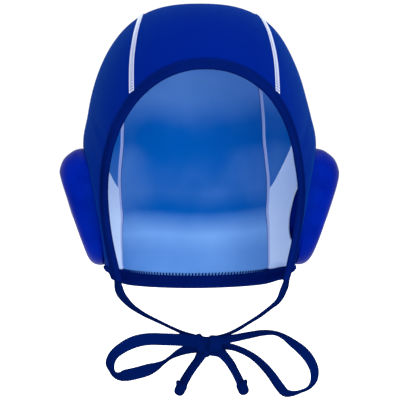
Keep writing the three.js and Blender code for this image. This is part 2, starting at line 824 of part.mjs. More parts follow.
add('centre_panel', centrePanel(), clothBlue);
[['left', -1], ['right', 1]].forEach(([name, side]) => {
  add(`side_panel_${name}`, sidePanel(side), clothBlue);
  add(`seam_${name}`, seam(side), seamWhite);
  add(`ear_guard_${name}`, earGuard(side), guardBlue, 0.4);
  add(`ear_facing_${name}`, earFacing(side), facingPale);
});
add('face_binding', faceBinding(), tapeNavy);
add('nape_binding', napeBinding(), tapeNavy);
add('chin_tie_left', tape(chinRoute(chinTieLeft, -1), 13), tapeNavy);
add('chin_tie_right', tape(chinRoute(chinTieRight, 1), 13), tapeNavy);
add('bow_loop_left', tape(bowRoute(bowLoopLeft, bowReach), 24), tapeNavy);
add('bow_loop_right', tape(bowRoute(bowLoopRight, bowReach), 30), tapeNavy);
add('tie_tail_left', tape(bowRoute(tieTailLeft, tailDrop), 6), tapeNavy);
add('tie_tail_right', tape(bowRoute(tieTailRight, tailDrop), 6), tapeNavy);
add('bow_knot', knot(knotHalf), tapeNavy).position.copy(knotCentre);
addEndKnot('end_knot_left', bowRoute(tieTailLeft, tailDrop));
addEndKnot('end_knot_right', bowRoute(tieTailRight, tailDrop));

export default cap;
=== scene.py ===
import math

import bmesh
import bpy
import numpy as np
from mathutils import Matrix, Vector


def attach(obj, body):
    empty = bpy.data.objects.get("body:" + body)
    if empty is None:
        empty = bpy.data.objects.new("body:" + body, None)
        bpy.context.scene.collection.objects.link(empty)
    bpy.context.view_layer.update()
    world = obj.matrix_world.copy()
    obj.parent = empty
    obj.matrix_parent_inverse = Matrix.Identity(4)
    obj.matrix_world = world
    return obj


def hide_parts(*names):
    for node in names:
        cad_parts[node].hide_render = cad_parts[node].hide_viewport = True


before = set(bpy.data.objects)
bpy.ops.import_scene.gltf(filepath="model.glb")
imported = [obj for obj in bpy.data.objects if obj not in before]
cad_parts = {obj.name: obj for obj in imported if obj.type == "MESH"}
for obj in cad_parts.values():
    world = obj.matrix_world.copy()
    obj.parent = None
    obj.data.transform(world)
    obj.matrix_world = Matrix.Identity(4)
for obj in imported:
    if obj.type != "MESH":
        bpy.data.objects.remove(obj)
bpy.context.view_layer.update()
mm = 0.001
print("frame loaded, nodes:", len(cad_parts))

cameraSet = {"target": (0.0006, 0.0, -0.138), "azimuth": -3.0, "elevation": 1.0, "distance": 1.4,
             "lens": 176.2}


# Puts a camera or lamp in its place, looking along a direction.
def addAimed(name, data, location, direction):
    made = bpy.data.objects.new(name, data)
    made.location = location
    made.rotation_mode = "QUATERNION"
    made.rotation_quaternion = direction.to_track_quat("-Z", "Y")
    bpy.context.scene.collection.objects.link(made)
    return made


def makeCamera(values):
    azimuth, elevation = math.radians(values["azimuth"]), math.radians(values["elevation"])
    level = math.cos(elevation)
    back = Vector((math.sin(azimuth) * level, -math.cos(azimuth) * level, math.sin(elevation)))
    data = bpy.data.cameras.new("camera")
    data.lens = values["lens"]
    data.sensor_width = 36
    data.clip_start, data.clip_end = 0.05, 20
    location = Vector(values["target"]) + back * values["distance"]
    bpy.context.scene.camera = addAimed("camera", data, location, -back)


makeCamera(cameraSet)
print("camera made")


def link(tree, value, socket):
    if isinstance(value, bpy.types.NodeSocket):
        tree.links.new(value, socket)
    else:
        socket.default_value = value


def mathNode(tree, operation, *values, clamp=False):
    made = tree.nodes.new("ShaderNodeMath")
    made.operation = operation
    made.use_clamp = clamp
    for value, socket in zip(values, made.inputs):
        link(tree, value, socket)
    return made.outputs[0]


# Two values added, each times its own share.
def weigh(tree, first, firstShare, second, secondShare):
    return mathNode(tree, "ADD", mathNode(tree, "MULTIPLY", first, firstShare),
                    mathNode(tree, "MULTIPLY", second, secondShare))


# A sine wave along a value, one turn to each pitch, moved on by lean.
def wave(tree, value, pitch, lean=0.0):
    turn = mathNode(tree, "MULTIPLY", value, mathNode(tree, "DIVIDE", 2 * math.pi, pitch))
    return mathNode(tree, "SINE", mathNode(tree, "ADD", turn, lean))


def mixColour(tree, share, first, second):
    made = tree.nodes.new("ShaderNodeMix")
    made.data_type = "RGBA"
    link(tree, share, made.inputs["Factor"])
    link(tree, first, made.inputs[6])
    link(tree, second, made.inputs[7])
    return made.outputs[2]


def mapRange(tree, value, low, high, newLow=0.0, newHigh=1.0):
    made = tree.nodes.new("ShaderNodeMapRange")
    for part, socket in zip((value, low, high, newLow, newHigh), made.inputs):
        link(tree, part, socket)
    return made.outputs[0]


def splitVector(tree, value):
    made = tree.nodes.new("ShaderNodeSeparateXYZ")
    tree.links.new(value, made.inputs[0])
    return made.outputs


def noiseNode(tree, vector, scale, detail, rough):
    made = tree.nodes.new("ShaderNodeTexNoise")
    tree.links.new(vector, made.inputs["Vector"])
    link(tree, scale, made.inputs["Scale"])
    made.inputs["Detail"].default_value = detail
    made.inputs["Roughness"].default_value = rough
    return made.outputs[0]


def newGroup(name, inputs, outputs):
    group = bpy.data.node_groups.new(name, "ShaderNodeTree")
    for label, kind, value in inputs:
        socket = group.interface.new_socket(name=label, in_out="INPUT", socket_type="NodeSocket" + kind)
        if value is not None:
            socket.default_value = value
    for label in outputs:
        group.interface.new_socket(name=label, in_out="OUTPUT", socket_type="NodeSocketFloat")
    return group, group.nodes.new("NodeGroupInput").outputs, group.nodes.new("NodeGroupOutput").inputs


def useGroup(tree, group, **values):
    made = tree.nodes.new("ShaderNodeGroup")
    made.node_tree = group
    for label, value in values.items():
        link(tree, value, made.inputs[label])
    return made.outputs


def srgb(red, green, blue):
    parts = [c / 255 for c in (red, green, blue)]
    return tuple(c / 12.92 if c <= 0.04045 else ((c + 0.055) / 1.055) ** 2.4 for c in parts) + (1.0,)


# knit: wales across and courses along the weave attribute, which is in millimetres
def knitGroup():
    group, take, give = newGroup("knitWeave", [("Weave", "Vector", None), ("Pitch", "Float", 0.9)],
                                 ["Height", "Shade"])
    across, along, _ = splitVector(group, take["Weave"])
    wale = wave(group, across, take["Pitch"])
    course = wave(group, along, take["Pitch"], mathNode(group, "MULTIPLY", wale, 0.9))
    height = mathNode(group, "ADD", weigh(group, wale, 0.25, course, 0.25), 0.5)
    fuzz = noiseNode(group, take["Weave"], 1.4, 3.0, 0.6)
    group.links.new(height, give["Height"])
    group.links.new(weigh(group, height, 0.5, fuzz, 0.5), give["Shade"])
    return group


# tape: fine ribs along the tape and a cross weave
def tapeGroup():
    inputs = [("Weave", "Vector", None), ("Ribs", "Float", 0.9), ("Picks", "Float", 0.7)]
    group, take, give = newGroup("tapeWeave", inputs, ["Height", "Shade"])
    across, along, _ = splitVector(group, take["Weave"])
    rib = wave(group, across, take["Ribs"])
    flip = mathNode(group, "MULTIPLY", mathNode(group, "SIGN", rib), math.pi / 2)
    pick = wave(group, along, take["Picks"], flip)
    height = weigh(group, mathNode(group, "ABSOLUTE", rib), 0.6, pick, 0.3)
    fuzz = noiseNode(group, take["Weave"], 0.9, 3.0, 0.6)
    group.links.new(height, give["Height"])
    group.links.new(weigh(group, height, 0.45, fuzz, 0.6), give["Shade"])
    return group


# variation: slow patches of wear and dye over the whole piece
def variationGroup():
    group, take, give = newGroup("clothVariation", [("Position", "Vector", None), ("Size", "Float", 30.0)],
                                 ["Patch", "Fine"])
    fineSize = mathNode(group, "MULTIPLY", take["Size"], 12.0)
    group.links.new(noiseNode(group, take["Position"], take["Size"], 2.0, 0.5), give["Patch"])
    group.links.new(noiseNode(group, take["Position"], fineSize, 3.0, 0.6), give["Fine"])
    return group


knitWeave = knitGroup()
tapeWeave = tapeGroup()
clothVariation = variationGroup()


def newMaterial(name, roughness, specular, tint=(0.05, 0.4, 1.0), sheen=0.0):
    material = bpy.data.materials.new(name)
    material.use_nodes = True
    shader = material.node_tree.nodes["Principled BSDF"]
    shader.inputs["Roughness"].default_value = roughness
    shader.inputs["Specular IOR Level"].default_value = specular
    shader.inputs["Specular Tint"].default_value = (*tint, 1.0)
    shader.inputs["Sheen Weight"].default_value = sheen
    shader.inputs["Sheen Tint"].default_value = (0.02, 0.35, 1.0, 1.0)
    shader.inputs["Sheen Roughness"].default_value = 0.45
    return material, material.node_tree, shader


def weaveOf(tree):
    made = tree.nodes.new("ShaderNodeAttribute")
    made.attribute_name = "weave"
    return made.outputs["Vector"]


def placeOf(tree):
    return tree.nodes.new("ShaderNodeTexCoord").outputs["Object"]


# The colour, an uneven roughness and a bump, put into a material's shader.
def dress(tree, shader, colour, fine, roughRange, height, bump, distance):
    tree.links.new(colour, shader.inputs["Base Color"])
    tree.links.new(mapRange(tree, fine, 0.3, 0.7, *roughRange), shader.inputs["Roughness"])
    made = tree.nodes.new("ShaderNodeBump")
    made.inputs["Strength"].default_value = bump
    made.inputs["Distance"].default_value = distance
    tree.links.new(height, made.inputs["Height"])
    tree.links.new(made.outputs["Normal"], shader.inputs["Normal"])


# Knitted cloth. The third part of the weave attribute is painted light and shade, mixed into the colour by
# its share.
def clothMaterial(name, dark, light, roughness=0.75, bump=0.35, specular=0.01, sheen=0.0, paintedShadeShare=0.0,
                  patch=0.45, knitShare=0.5):
    material, tree, shader = newMaterial(name, roughness, specular, sheen=sheen)
    knit = useGroup(tree, knitWeave, Weave=weaveOf(tree), Pitch=0.8)
    patches = useGroup(tree, clothVariation, Position=placeOf(tree), Size=22.0)
    paintedShade = splitVector(tree, weaveOf(tree))[2]
    uneven = weigh(tree, mathNode(tree, "SUBTRACT", knit["Shade"], 0.5), knitShare,
                   mathNode(tree, "SUBTRACT", patches["Patch"], 0.5), patch)
    # painted light and shade from the weave's third part moves the colour between the dark and the light end
    base = mathNode(tree, "ADD", mathNode(tree, "MULTIPLY", paintedShade, paintedShadeShare), 0.5 * (1 - paintedShadeShare))
    colour = mixColour(tree, mathNode(tree, "ADD", uneven, base, clamp=True), dark, light)
    dress(tree, shader, colour, patches["Fine"], (roughness - 0.05, roughness + 0.07), knit["Height"], bump,
          0.0002)
    return material


def tapeMaterial(name, dark, light, ribs=0.9, picks=0.7, roughness=0.65, bump=0.5, specular=0.0,
                 tint=(0.05, 0.4, 1.0)):
    material, tree, shader = newMaterial(name, roughness, specular, tint)
    woven = useGroup(tree, tapeWeave, Weave=weaveOf(tree), Ribs=ribs, Picks=picks)
    patches = useGroup(tree, clothVariation, Position=placeOf(tree), Size=30.0)
    share = weigh(tree, woven["Shade"], 0.7, patches["Patch"], 0.4)
    colour = mixColour(tree, mapRange(tree, share, 0.25, 0.85), dark, light)
    dress(tree, shader, colour, patches["Fine"], (roughness - 0.05, roughness + 0.08), woven["Height"], bump,
          0.00025)
    return material


def guardMaterial():
    material, tree, shader = newMaterial("guardPlastic", 0.42, 0.05, (0.02, 0.4, 1.0))
    grain = useGroup(tree, clothVariation, Position=placeOf(tree), Size=60.0)
    share = mapRange(tree, grain["Patch"], 0.3, 0.7)
    colour = mixColour(tree, share, srgb(0, 19, 120), srgb(0, 25, 136))
    dress(tree, shader, colour, grain["Fine"], (0.34, 0.46), grain["Fine"], 0.25, 0.0001)
    return material


clothOutside = clothMaterial("clothOutside", srgb(0, 18, 102), srgb(0, 27, 122), sheen=0.1)
# the inside's dark and light colours span its painted shade and painted light, as well as its knit and
# patches
clothInside = clothMaterial("clothInside", srgb(1, 92, 178), srgb(136, 186, 244), paintedShadeShare=0.95, patch=0.34,
                            knitShare=0.2)
facingCloth = clothMaterial("facingCloth", srgb(192, 216, 252), srgb(212, 232, 255), patch=0.3)
tapeNavy = tapeMaterial("tapeNavy", srgb(1, 13, 66), srgb(3, 25, 100))
tieNavy = tapeMaterial("tieNavy", srgb(0, 12, 58), srgb(2, 24, 86), ribs=1.0, picks=0.8)
threadFinish = {"ribs": 0.5, "picks": 0.5, "roughness": 0.8, "bump": 0.3}
seamThread = tapeMaterial("seamThread", srgb(190, 202, 232), srgb(224, 232, 250), specular=0.05,
                          tint=(1, 1, 1), **threadFinish)
seamInside = tapeMaterial("seamInside", srgb(150, 172, 226), srgb(178, 196, 240), **threadFinish)
darkThread = tapeMaterial("darkThread", srgb(2, 20, 84), srgb(6, 34, 112), ribs=0.4, picks=0.4, bump=0.3)
guardPlastic = guardMaterial()
print("materials made")


# Every shape is worked out in millimetres and stored in metres.
def makeMesh(name, points, faces, materials, faceMaterial=None, weave=None, sharpAngle=50):
    data = bpy.data.meshes.new(name)
    data.from_pydata((np.asarray(points) * mm).tolist(), [], [list(map(int, f)) for f in faces])
    if weave is not None:
        attribute = data.attributes.new("weave", "FLOAT_VECTOR", "POINT")
        attribute.data.foreach_set("vector", np.asarray(weave, np.float32).ravel())
    for material in materials:
        data.materials.append(material)
    if faceMaterial is not None:
        data.polygons.foreach_set("material_index", np.asarray(faceMaterial, np.int32))
    work = bmesh.new()
    work.from_mesh(data)
    bmesh.ops.recalc_face_normals(work, faces=work.faces)
    work.to_mesh(data)
    work.free()
    data.polygons.foreach_set("use_smooth", np.ones(len(data.polygons), bool))
    data.set_sharp_from_angle(angle=math.radians(sharpAngle))
    made = bpy.data.objects.new(name, data)
    bpy.context.scene.collection.objects.link(made)
    return made


def place(piece, slot, *nodes):
    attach(piece, "root")
    if nodes:
        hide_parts(*nodes)
    return piece


leftAndRight = ((-1, "Left"), (1, "Right"))


def unit(vectors):
    return vectors / np.linalg.norm(vectors, axis=-1, keepdims=True)


# The length from the first point of a line to each of its points.
def runLengths(points):
    return np.concatenate([[0], np.cumsum(np.linalg.norm(np.diff(points, axis=0), axis=1))])


# The rows of a table read off at spots along its length.
def readAlong(spots, lengths, rows):
    return np.stack([np.interp(spots, lengths, rows[:, k]) for k in range(rows.shape[1])], -1)


# A smooth curve from one value to the next, with the slopes over the whole span at its ends.
def curveBetween(t, first, slopeIn, last, slopeOut):
    return ((2 * t ** 3 - 3 * t ** 2 + 1) * first + (t ** 3 - 2 * t ** 2 + t) * slopeIn
            + (3 * t ** 2 - 2 * t ** 3) * last + (t ** 3 - t ** 2) * slopeOut)


# Halves a span again and again, towards the place where isBefore turns false.
def halve(near, far, isBefore):
    for _ in range(34):
        middle = (near + far) / 2
        before = isBefore(middle)
        near, far = np.where(before, middle, near), np.where(before, far, middle)
    return near


def gridFaces(rows, columns, wrapRows=False, wrapColumns=False, start=0):
    row = np.arange(rows if wrapRows else rows - 1)
    column = np.arange(columns if wrapColumns else columns - 1)
    r, c = np.meshgrid(row, column, indexing="ij")
    nextR, nextC = (r + 1) % rows, (c + 1) % columns
    quads = np.stack([r * columns + c, r * columns + nextC, nextR * columns + nextC, nextR * columns + c], -1)
    return quads.reshape(-1, 4) + start


# A wall from two grids of points, closed along its open edges.
def wallFaces(rows, columns, wrapRows=False, wrapColumns=False):
    outer = gridFaces(rows, columns, wrapRows, wrapColumns)
    inner = gridFaces(rows, columns, wrapRows, wrapColumns, rows * columns)[:, ::-1]
    index = np.arange(rows * columns).reshape(rows, columns)
    edges = []
    if not wrapRows:
        edges += [(index[0], wrapColumns), (index[-1], wrapColumns)]
    if not wrapColumns:
        edges += [(index[:, 0], wrapRows), (index[:, -1], wrapRows)]
    rims = []
    for line, wrapped in edges:
        ahead = np.roll(line, -1) if wrapped else line[1:]
        here = line if wrapped else line[:-1]
        rims.append(np.stack([here, ahead, ahead + rows * columns, here + rows * columns], -1))
    rims = np.concatenate(rims) if rims else np.zeros((0, 4), int)
    return outer, inner, rims


def addWall(name, outer, inner, materials, weave, wrapRows=False, wrapColumns=False, sharpAngle=60):
    rows, columns = outer.shape[:2]
    faces = wallFaces(rows, columns, wrapRows, wrapColumns)
    partKinds = (0, len(materials) - 1, 0)
    kinds = np.concatenate([np.full(len(part), kind) for part, kind in zip(faces, partKinds)])
    points = np.concatenate([outer.reshape(-1, 3), inner.reshape(-1, 3)])
    both = np.concatenate([weave.reshape(-1, 3)] * 2)
    return makeMesh(name, points, np.concatenate(faces), materials, kinds, both, sharpAngle)


# Rings of points joined into a tube with flat ends: rings is (count, sides, 3).
def tubeMesh(rings):
    count, sides = rings.shape[:2]
    faces = gridFaces(count, sides, False, True).tolist()
    faces += [list(range(sides)), list(range((count - 1) * sides, count * sides))]
    return rings.reshape(-1, 3), faces


# Many short threads at once: points and normals are (threads, steps, 3).
def threadMesh(points, normals, halfWidth, halfHeight, around=6):
    threads, steps = points.shape[:2]
    tangent = unit(np.gradient(points, axis=1))
    across = unit(np.cross(normals, tangent))
    upward = np.cross(tangent, across)
    share = np.linspace(-1, 1, steps)
    taper = np.sqrt(np.clip(1 - 0.85 * share ** 6, 0.1, 1))[None, :, None, None]
    angle = 2 * math.pi * np.arange(around) / around
    wide = across[:, :, None] * (halfWidth * np.cos(angle))[:, None]
    tall = upward[:, :, None] * (halfHeight * np.sin(angle))[:, None]
    rings = points[:, :, None] + taper * (wide + tall)
    quads = gridFaces(steps, around, False, True)
    starts = (np.arange(threads) * steps * around)[:, None, None]
    faces = (quads[None] + starts).reshape(-1, 4).tolist()
    first = (np.arange(around)[None] + starts[:, 0]).tolist()
    last = (np.arange((steps - 1) * around, steps * around)[None] + starts[:, 0]).tolist()
    weave = np.zeros((threads, steps, around, 3))
    weave[..., 0] = angle / math.pi
    weave[..., 1] = np.linspace(0, 3, steps)[None, :, None]
    return rings.reshape(-1, 3), faces + first + last, weave.reshape(-1, 3)


# Each part is (points, faces, weave). Its kind is a material index, or one for each of its faces.
def joinParts(parts, kinds):
    faces, faceKinds, start = [], [], 0
    for part, kind in zip(parts, kinds):
        faces += [[i + start for i in face] for face in part[1]]
        faceKinds += np.broadcast_to(kind, len(part[1])).tolist()
        start += len(part[0])
    points, weave = (np.concatenate([part[k] for part in parts]) for k in (0, 2))
    return points, faces, faceKinds, weave


def makeJoined(name, parts, material):
    points, faces, kinds, weave = joinParts(parts, [0] * len(parts))
    return makeMesh(name, points, faces, [material], kinds, weave)


# The head form and the lines on it, as in the solids.
form = {"halfWidth": 80.0, "frontDepth": 98.0, "backDepth": 103.0, "widestLevel": 100.0, "napeLevel": 204.7,
        "napeHalfWidth": 60.0, "napeDepth": 80.0, "planPower": 2.2, "wallPower": 2.87, "crownPower": 1.9,
        "taperPower": 1.25}
face = {"topLevel": 47.7, "springLevel": 132.0, "halfWidth": 66.6, "power": 2.1, "cornerLevel": 193.0,
        "cornerHalfWidth": 57.0, "cheekPower": 1.6, "napeCurve": 1.6}
panel = {"halfWidth": 48.4, "thickness": 1.2, "slot": 1.4,
         "pitch": [10, 40, 56, 73, 95, 130, 160, 185, 250],
         "share": [1.0, 0.998, 0.945, 0.868, 0.84, 0.955, 1.09, 1.155, 1.13],
         "cutShare": 0.96}  # the flat cut against the panel as worn
guard = {"level": 142.2, "y": 2.0, "halfHeight": 43.2, "halfLength": 33.0, "standOff": 21.8, "wall": 1.8,
         "power": 3.0, "clearance": 1.0, "flangeWidth": 4.5, "flangeThickness": 1.2, "neckHeight": 3.8,
         "footUp": 0.951, "footDown": 0.91, "liftStart": 1.14, "liftEnd": 1.6, "gap": 0.4}


def sectionAt(z):
    below = np.maximum(0, -z - form["widestLevel"]) / (form["napeLevel"] - form["widestLevel"])
    taper = below ** form["taperPower"]
    rise = np.maximum(0, z + form["widestLevel"]) / form["widestLevel"]
    half = form["halfWidth"] - (form["halfWidth"] - form["napeHalfWidth"]) * taper
    back = form["backDepth"] - (form["backDepth"] - form["napeDepth"]) * taper
    reach = np.maximum(0, 1 - rise ** form["crownPower"]) ** (1 / form["wallPower"])
    return half, back, rise, reach


def formValue(p):
    half, back, rise, _ = sectionAt(p[..., 2])
    depth = np.where(p[..., 1] < 0, form["frontDepth"], back)
    plan = np.abs(p[..., 0] / half) ** form["planPower"] + np.abs(p[..., 1] / depth) ** form["planPower"]
    return plan ** (form["wallPower"] / form["planPower"]) + rise ** form["crownPower"] - 1


def formGradient(p):
    step = 0.02
    steps = step * np.eye(3)
    return np.stack([(formValue(p + apart) - formValue(p - apart)) / (2 * step) for apart in steps], -1)


def formNormal(p):
    return unit(formGradient(p))


def seat(p, rounds=14):
    p = np.array(p, float)
    for _ in range(rounds):
        gradient = formGradient(p)
        p = p - gradient * (formValue(p) / (gradient ** 2).sum(-1))[..., None]
    return p


# What is left of the plan's depth at a share of its width, or the other way round.
def planLeft(reach, share):
    power = form["planPower"]
    return np.maximum(0, reach ** power - np.abs(share) ** power) ** (1 / power)


def formY(x, z):
    half, _, _, reach = sectionAt(z)
    return -form["frontDepth"] * planLeft(reach, x / half)


def formX(y, z):
    half, back, _, reach = sectionAt(z)
    return half * planLeft(reach, y / np.where(y < 0, form["frontDepth"], back))


def pitchPoint(x, pitch):
    x, pitch = np.broadcast_arrays(np.asarray(x, float), np.radians(pitch))
    ray = np.stack([np.zeros_like(x), -np.cos(pitch), np.sin(pitch)], -1)
    start = np.stack([x, np.zeros_like(x), np.full_like(x, -form["widestLevel"])], -1)
    reach = halve(np.zeros(x.shape), np.full(x.shape, 2 * form["napeLevel"]),
                  lambda middle: formValue(start + ray * middle[..., None]) < 0)
    return start + ray * reach[..., None]


def pitchOf(p):
    pitch = np.degrees(np.arctan2(p[..., 2] + form["widestLevel"], -p[..., 1]))
    return np.where(pitch < -90, pitch + 360, pitch)


def seamHalf(pitch):
    keys, values = np.array(panel["pitch"], float), np.array(panel["share"])
    steps = np.diff(values) / np.diff(keys)
    slopes = np.concatenate([steps[:1], (values[2:] - values[:-2]) / (keys[2:] - keys[:-2]), steps[-1:]])
    row = np.clip(np.searchsorted(keys, pitch, side="left") - 1, 0, len(keys) - 2)
    span = keys[row + 1] - keys[row]
    t = np.clip((pitch - keys[row]) / span, 0, 1)
    return panel["halfWidth"] * curveBetween(t, values[row], slopes[row] * span, values[row + 1],
                                             slopes[row + 1] * span)


def browPoint(angle):
    angle = np.asarray(angle, float)
    x = face["halfWidth"] * np.abs(np.cos(angle)) ** (2 / face["power"])
    rise = face["springLevel"] - face["topLevel"]
    z = rise * np.abs(np.sin(angle)) ** (2 / face["power"]) - face["springLevel"]
    return np.stack([x, formY(x, z), z], -1)


def cheekPoint(share):
    share = np.asarray(share, float)
    x = face["halfWidth"] - (face["halfWidth"] - face["cornerHalfWidth"]) * share ** face["cheekPower"]
    z = -face["springLevel"] - (face["cornerLevel"] - face["springLevel"]) * share
    return np.stack([x, formY(x, z), z], -1)


corner = cheekPoint(1.0)
cornerAngle = math.atan2(corner[0], corner[1])


def napePoint(angle):
    angle = np.asarray(angle, float)
    share = ((1 + np.cos(math.pi * angle / cornerAngle)) / 2) ** face["napeCurve"]
    z = -face["cornerLevel"] - (form["napeLevel"] - face["cornerLevel"]) * share
    half, back, _, _ = sectionAt(z)
    depth = np.where(np.cos(angle) > 0, back, form["frontDepth"])
    power = form["planPower"]
    radius = (np.abs(np.sin(angle) / half) ** power + np.abs(np.cos(angle) / depth) ** power) ** (-1 / power)
    return np.stack([radius * np.sin(angle), radius * np.cos(angle), z], -1)


def browAngleAt(x):
    return np.arccos(np.clip(x / face["halfWidth"], 0, 1) ** (face["power"] / 2))


def napeAngleAt(x):
    return halve(np.zeros(np.shape(x)), np.full(np.shape(x), math.pi / 2),
                 lambda angle: napePoint(angle)[..., 0] < x)


def pitchRange(share, offset):
    share = np.asarray(share, float)
    start, end = np.full(share.shape, 25.0), np.full(share.shape, 240.0)
    for _ in range(8):
        start = pitchOf(browPoint(browAngleAt(np.abs(share * (seamHalf(start) + offset)))))
        end = pitchOf(napePoint(napeAngleAt(np.abs(share * (seamHalf(end) + offset)))))
    return start, end


def panelLines(shares, offset, count):
    shares = np.asarray(shares, float)
    start, end = pitchRange(shares, offset)
    along = np.linspace(0, 1, count + 1)[:, None]
    pitch = start + (end - start) * along
    return pitchPoint(shares * (seamHalf(pitch) + offset), pitch)


def smoothStep(value, low, high):
    t = np.clip((value - low) / (high - low), 0, 1)
    return t * t * (3 - 2 * t)


def guardShare(y, z):
    up = z + guard["level"]
    halfHeight = guard["halfHeight"] * np.where(up > 0, guard["footUp"], guard["footDown"])
    return (np.abs((y - guard["y"]) / guard["halfLength"]) ** guard["power"]
            + np.abs(up / halfHeight) ** guard["power"]) ** (1 / guard["power"])


def clothLift(p):
    share = guardShare(p[..., 1], p[..., 2])
    away = smoothStep(share, guard["liftStart"], guard["liftEnd"])
    return (guard["flangeThickness"] + guard["gap"]) * (1 - away)


# Soft folds of the stretched cloth: positive is outwards. All the layers share them. The first table is
# painted light and shade on the cloth's inside, by level: each row is a level and how light it is painted
# there.
folds = {
    "paintedByLevel": [(-205, 0.5), (-190, 0.42), (-178, 0.46), (-165, 0.7), (-157, 0.36), (-147, -0.04), (-133, 0.1),
              (-118, 0.04), (-104, -0.02), (-96, -0.06), (-84, 0.02), (-74, 0.16), (-62, 0.36), (-45, 0.45),
              (0, 0.45)],  # level, tone
    "paintedLean": 0.04, "paintedWave": 2.2, "paintedWaveRun": 17, "paintedSides": (14, 62), "leftPaintedGain": 0.95,
    "rightPaintedGain": 0.3, "sidesPaintedLight": 0.26, "sidesPaintedShade": 0.4,
    "back": (30, 70), "guardFade": (1.3, 2.0),
    "rightDrawn": 1.6, "rightAcross": (40, 66), "rightLevels": (-135, -110), "crownFade": (0, 45),
    "hemDrawn": 3.2, "hemLevels": (184, 191), "hemFront": (-42, -28), "hemBack": (20, 56),
    "backBands": [  # level, half width, height
        (-97, 13, -1.6), (-150, 7, -1.1), (-124, 9, 0.5), (-176, 10, 0.5),
    ],
    "creases": [  # from (x, y, z) to (x, y, z), half width, height
        ((-79, -36, -78), (-70, -62, -98), 4.0, -2.2),
        ((-77, -48, -66), (-66, -70, -86), 5.0, 1.2),
        ((78, -36, -80), (71, -60, -100), 4.5, -1.3),
    ],
}


# Painted light and shade for the inside of the cloth: bands by level that lean and wave across, lighter
# towards the sides at middle levels and darker there near the hem, more on the left than on the right.
def paintedShadingOf(p):
    levels, paintedByLevel = zip(*folds["paintedByLevel"])
    x, z = p[..., 0], p[..., 2]
    low = z - folds["paintedLean"] * x + folds["paintedWave"] * np.sin(x / folds["paintedWaveRun"] + 0.8)
    gain = np.where(x < 0, folds["leftPaintedGain"], folds["rightPaintedGain"])
    gain = gain * smoothStep(np.abs(x + 4), *folds["paintedSides"])
    upper, lower = smoothStep(-low, 90, 110), smoothStep(-low, 150, 172)
    return np.interp(low, levels, paintedByLevel) + gain * (folds["sidesPaintedLight"] * upper - folds["sidesPaintedShade"] * lower)


def foldHeight(p):
    x, y, z = p[..., 0], p[..., 1], p[..., 2]
    height = np.zeros(y.shape)
    behind = smoothStep(y, *folds["back"])
    for level, width, size in folds["backBands"]:
        height = height + size * behind * np.exp(-((z - level - 0.03 * x) / width) ** 2)
    for start, end, width, size in folds["creases"]:
        a, b = np.array(start, float), np.array(end, float)
        t = np.clip(((p - a) @ (b - a)) / ((b - a) @ (b - a)), 0, 1)
        apart = np.linalg.norm(p - (a + (b - a) * t[..., None]), axis=-1)
        height = height + size * np.exp(-(apart / width) ** 2)
    drawn = (folds["rightDrawn"] * smoothStep(x, *folds["rightAcross"]) * smoothStep(z, *folds["rightLevels"])
             * smoothStep(-z, *folds["crownFade"]))
    hem = (folds["hemDrawn"] * smoothStep(-z, *folds["hemLevels"]) * smoothStep(y, *folds["hemFront"])
           * (1 - smoothStep(y, *folds["hemBack"])))
    return (height - drawn) * smoothStep(guardShare(y, z), *folds["guardFade"]) - hem


def onForm(p, height):
    return p + formNormal(p) * (height + foldHeight(p))[..., None]


def onCloth(p, height):
    return onForm(p, height + clothLift(p))


def mirrorX(p, side):
    return p * np.array([side, 1.0, 1.0])


# A line on the form, with the direction into the cloth at each point.
def makeTrack(points, intoCloth):
    points = np.asarray(points, float)
    lengths = runLengths(points)
    inward = np.cross(formNormal(seat(points)), unit(np.gradient(points, axis=0))) * intoCloth
    return {"points": points, "lengths": lengths, "inward": inward, "total": lengths[-1]}


def trackPoint(track, along, across):
    along, across = np.broadcast_arrays(along, across)
    base = readAlong(along, track["lengths"], track["points"])
    inward = readAlong(along, track["lengths"], track["inward"])
    return seat(base + inward * across[..., None])


def faceEdge(brow=160, cheek=90):
    upper = browPoint(math.pi / 2 * (1 - np.arange(brow + 1) / brow))
    return np.concatenate([upper, cheekPoint(np.arange(1, cheek + 1) / cheek)])


def napeEdge(steps=200):
    angle = cornerAngle * np.arange(-steps, steps + 1) / steps
    edge = napePoint(np.abs(angle))
    edge[:steps, 0] *= -1
    return edge


def evenLine(points, count):
    lengths = runLengths(points)
    return readAlong(np.linspace(0, lengths[-1], count), lengths, points)


rightFace = faceEdge()
faceLine = np.concatenate([mirrorX(rightFace[:0:-1], -1), rightFace])
faceTrack = makeTrack(evenLine(faceLine, 420), 1)
napeTrack = makeTrack(evenLine(napeEdge(), 340), -1)
seamTrack = makeTrack(evenLine(panelLines([1.0], 0, 400)[:, 0], 420), 1)


def distanceTo(line, p):
    flat = p.reshape(-1, 3)
    best = np.full(len(flat), 1e9)
    for start in range(0, len(flat), 4000):
        part = flat[start:start + 4000]
        best[start:start + 4000] = np.sqrt(((part[:, None] - line[None]) ** 2).sum(-1)).min(1)
    return best.reshape(p.shape[:-1])


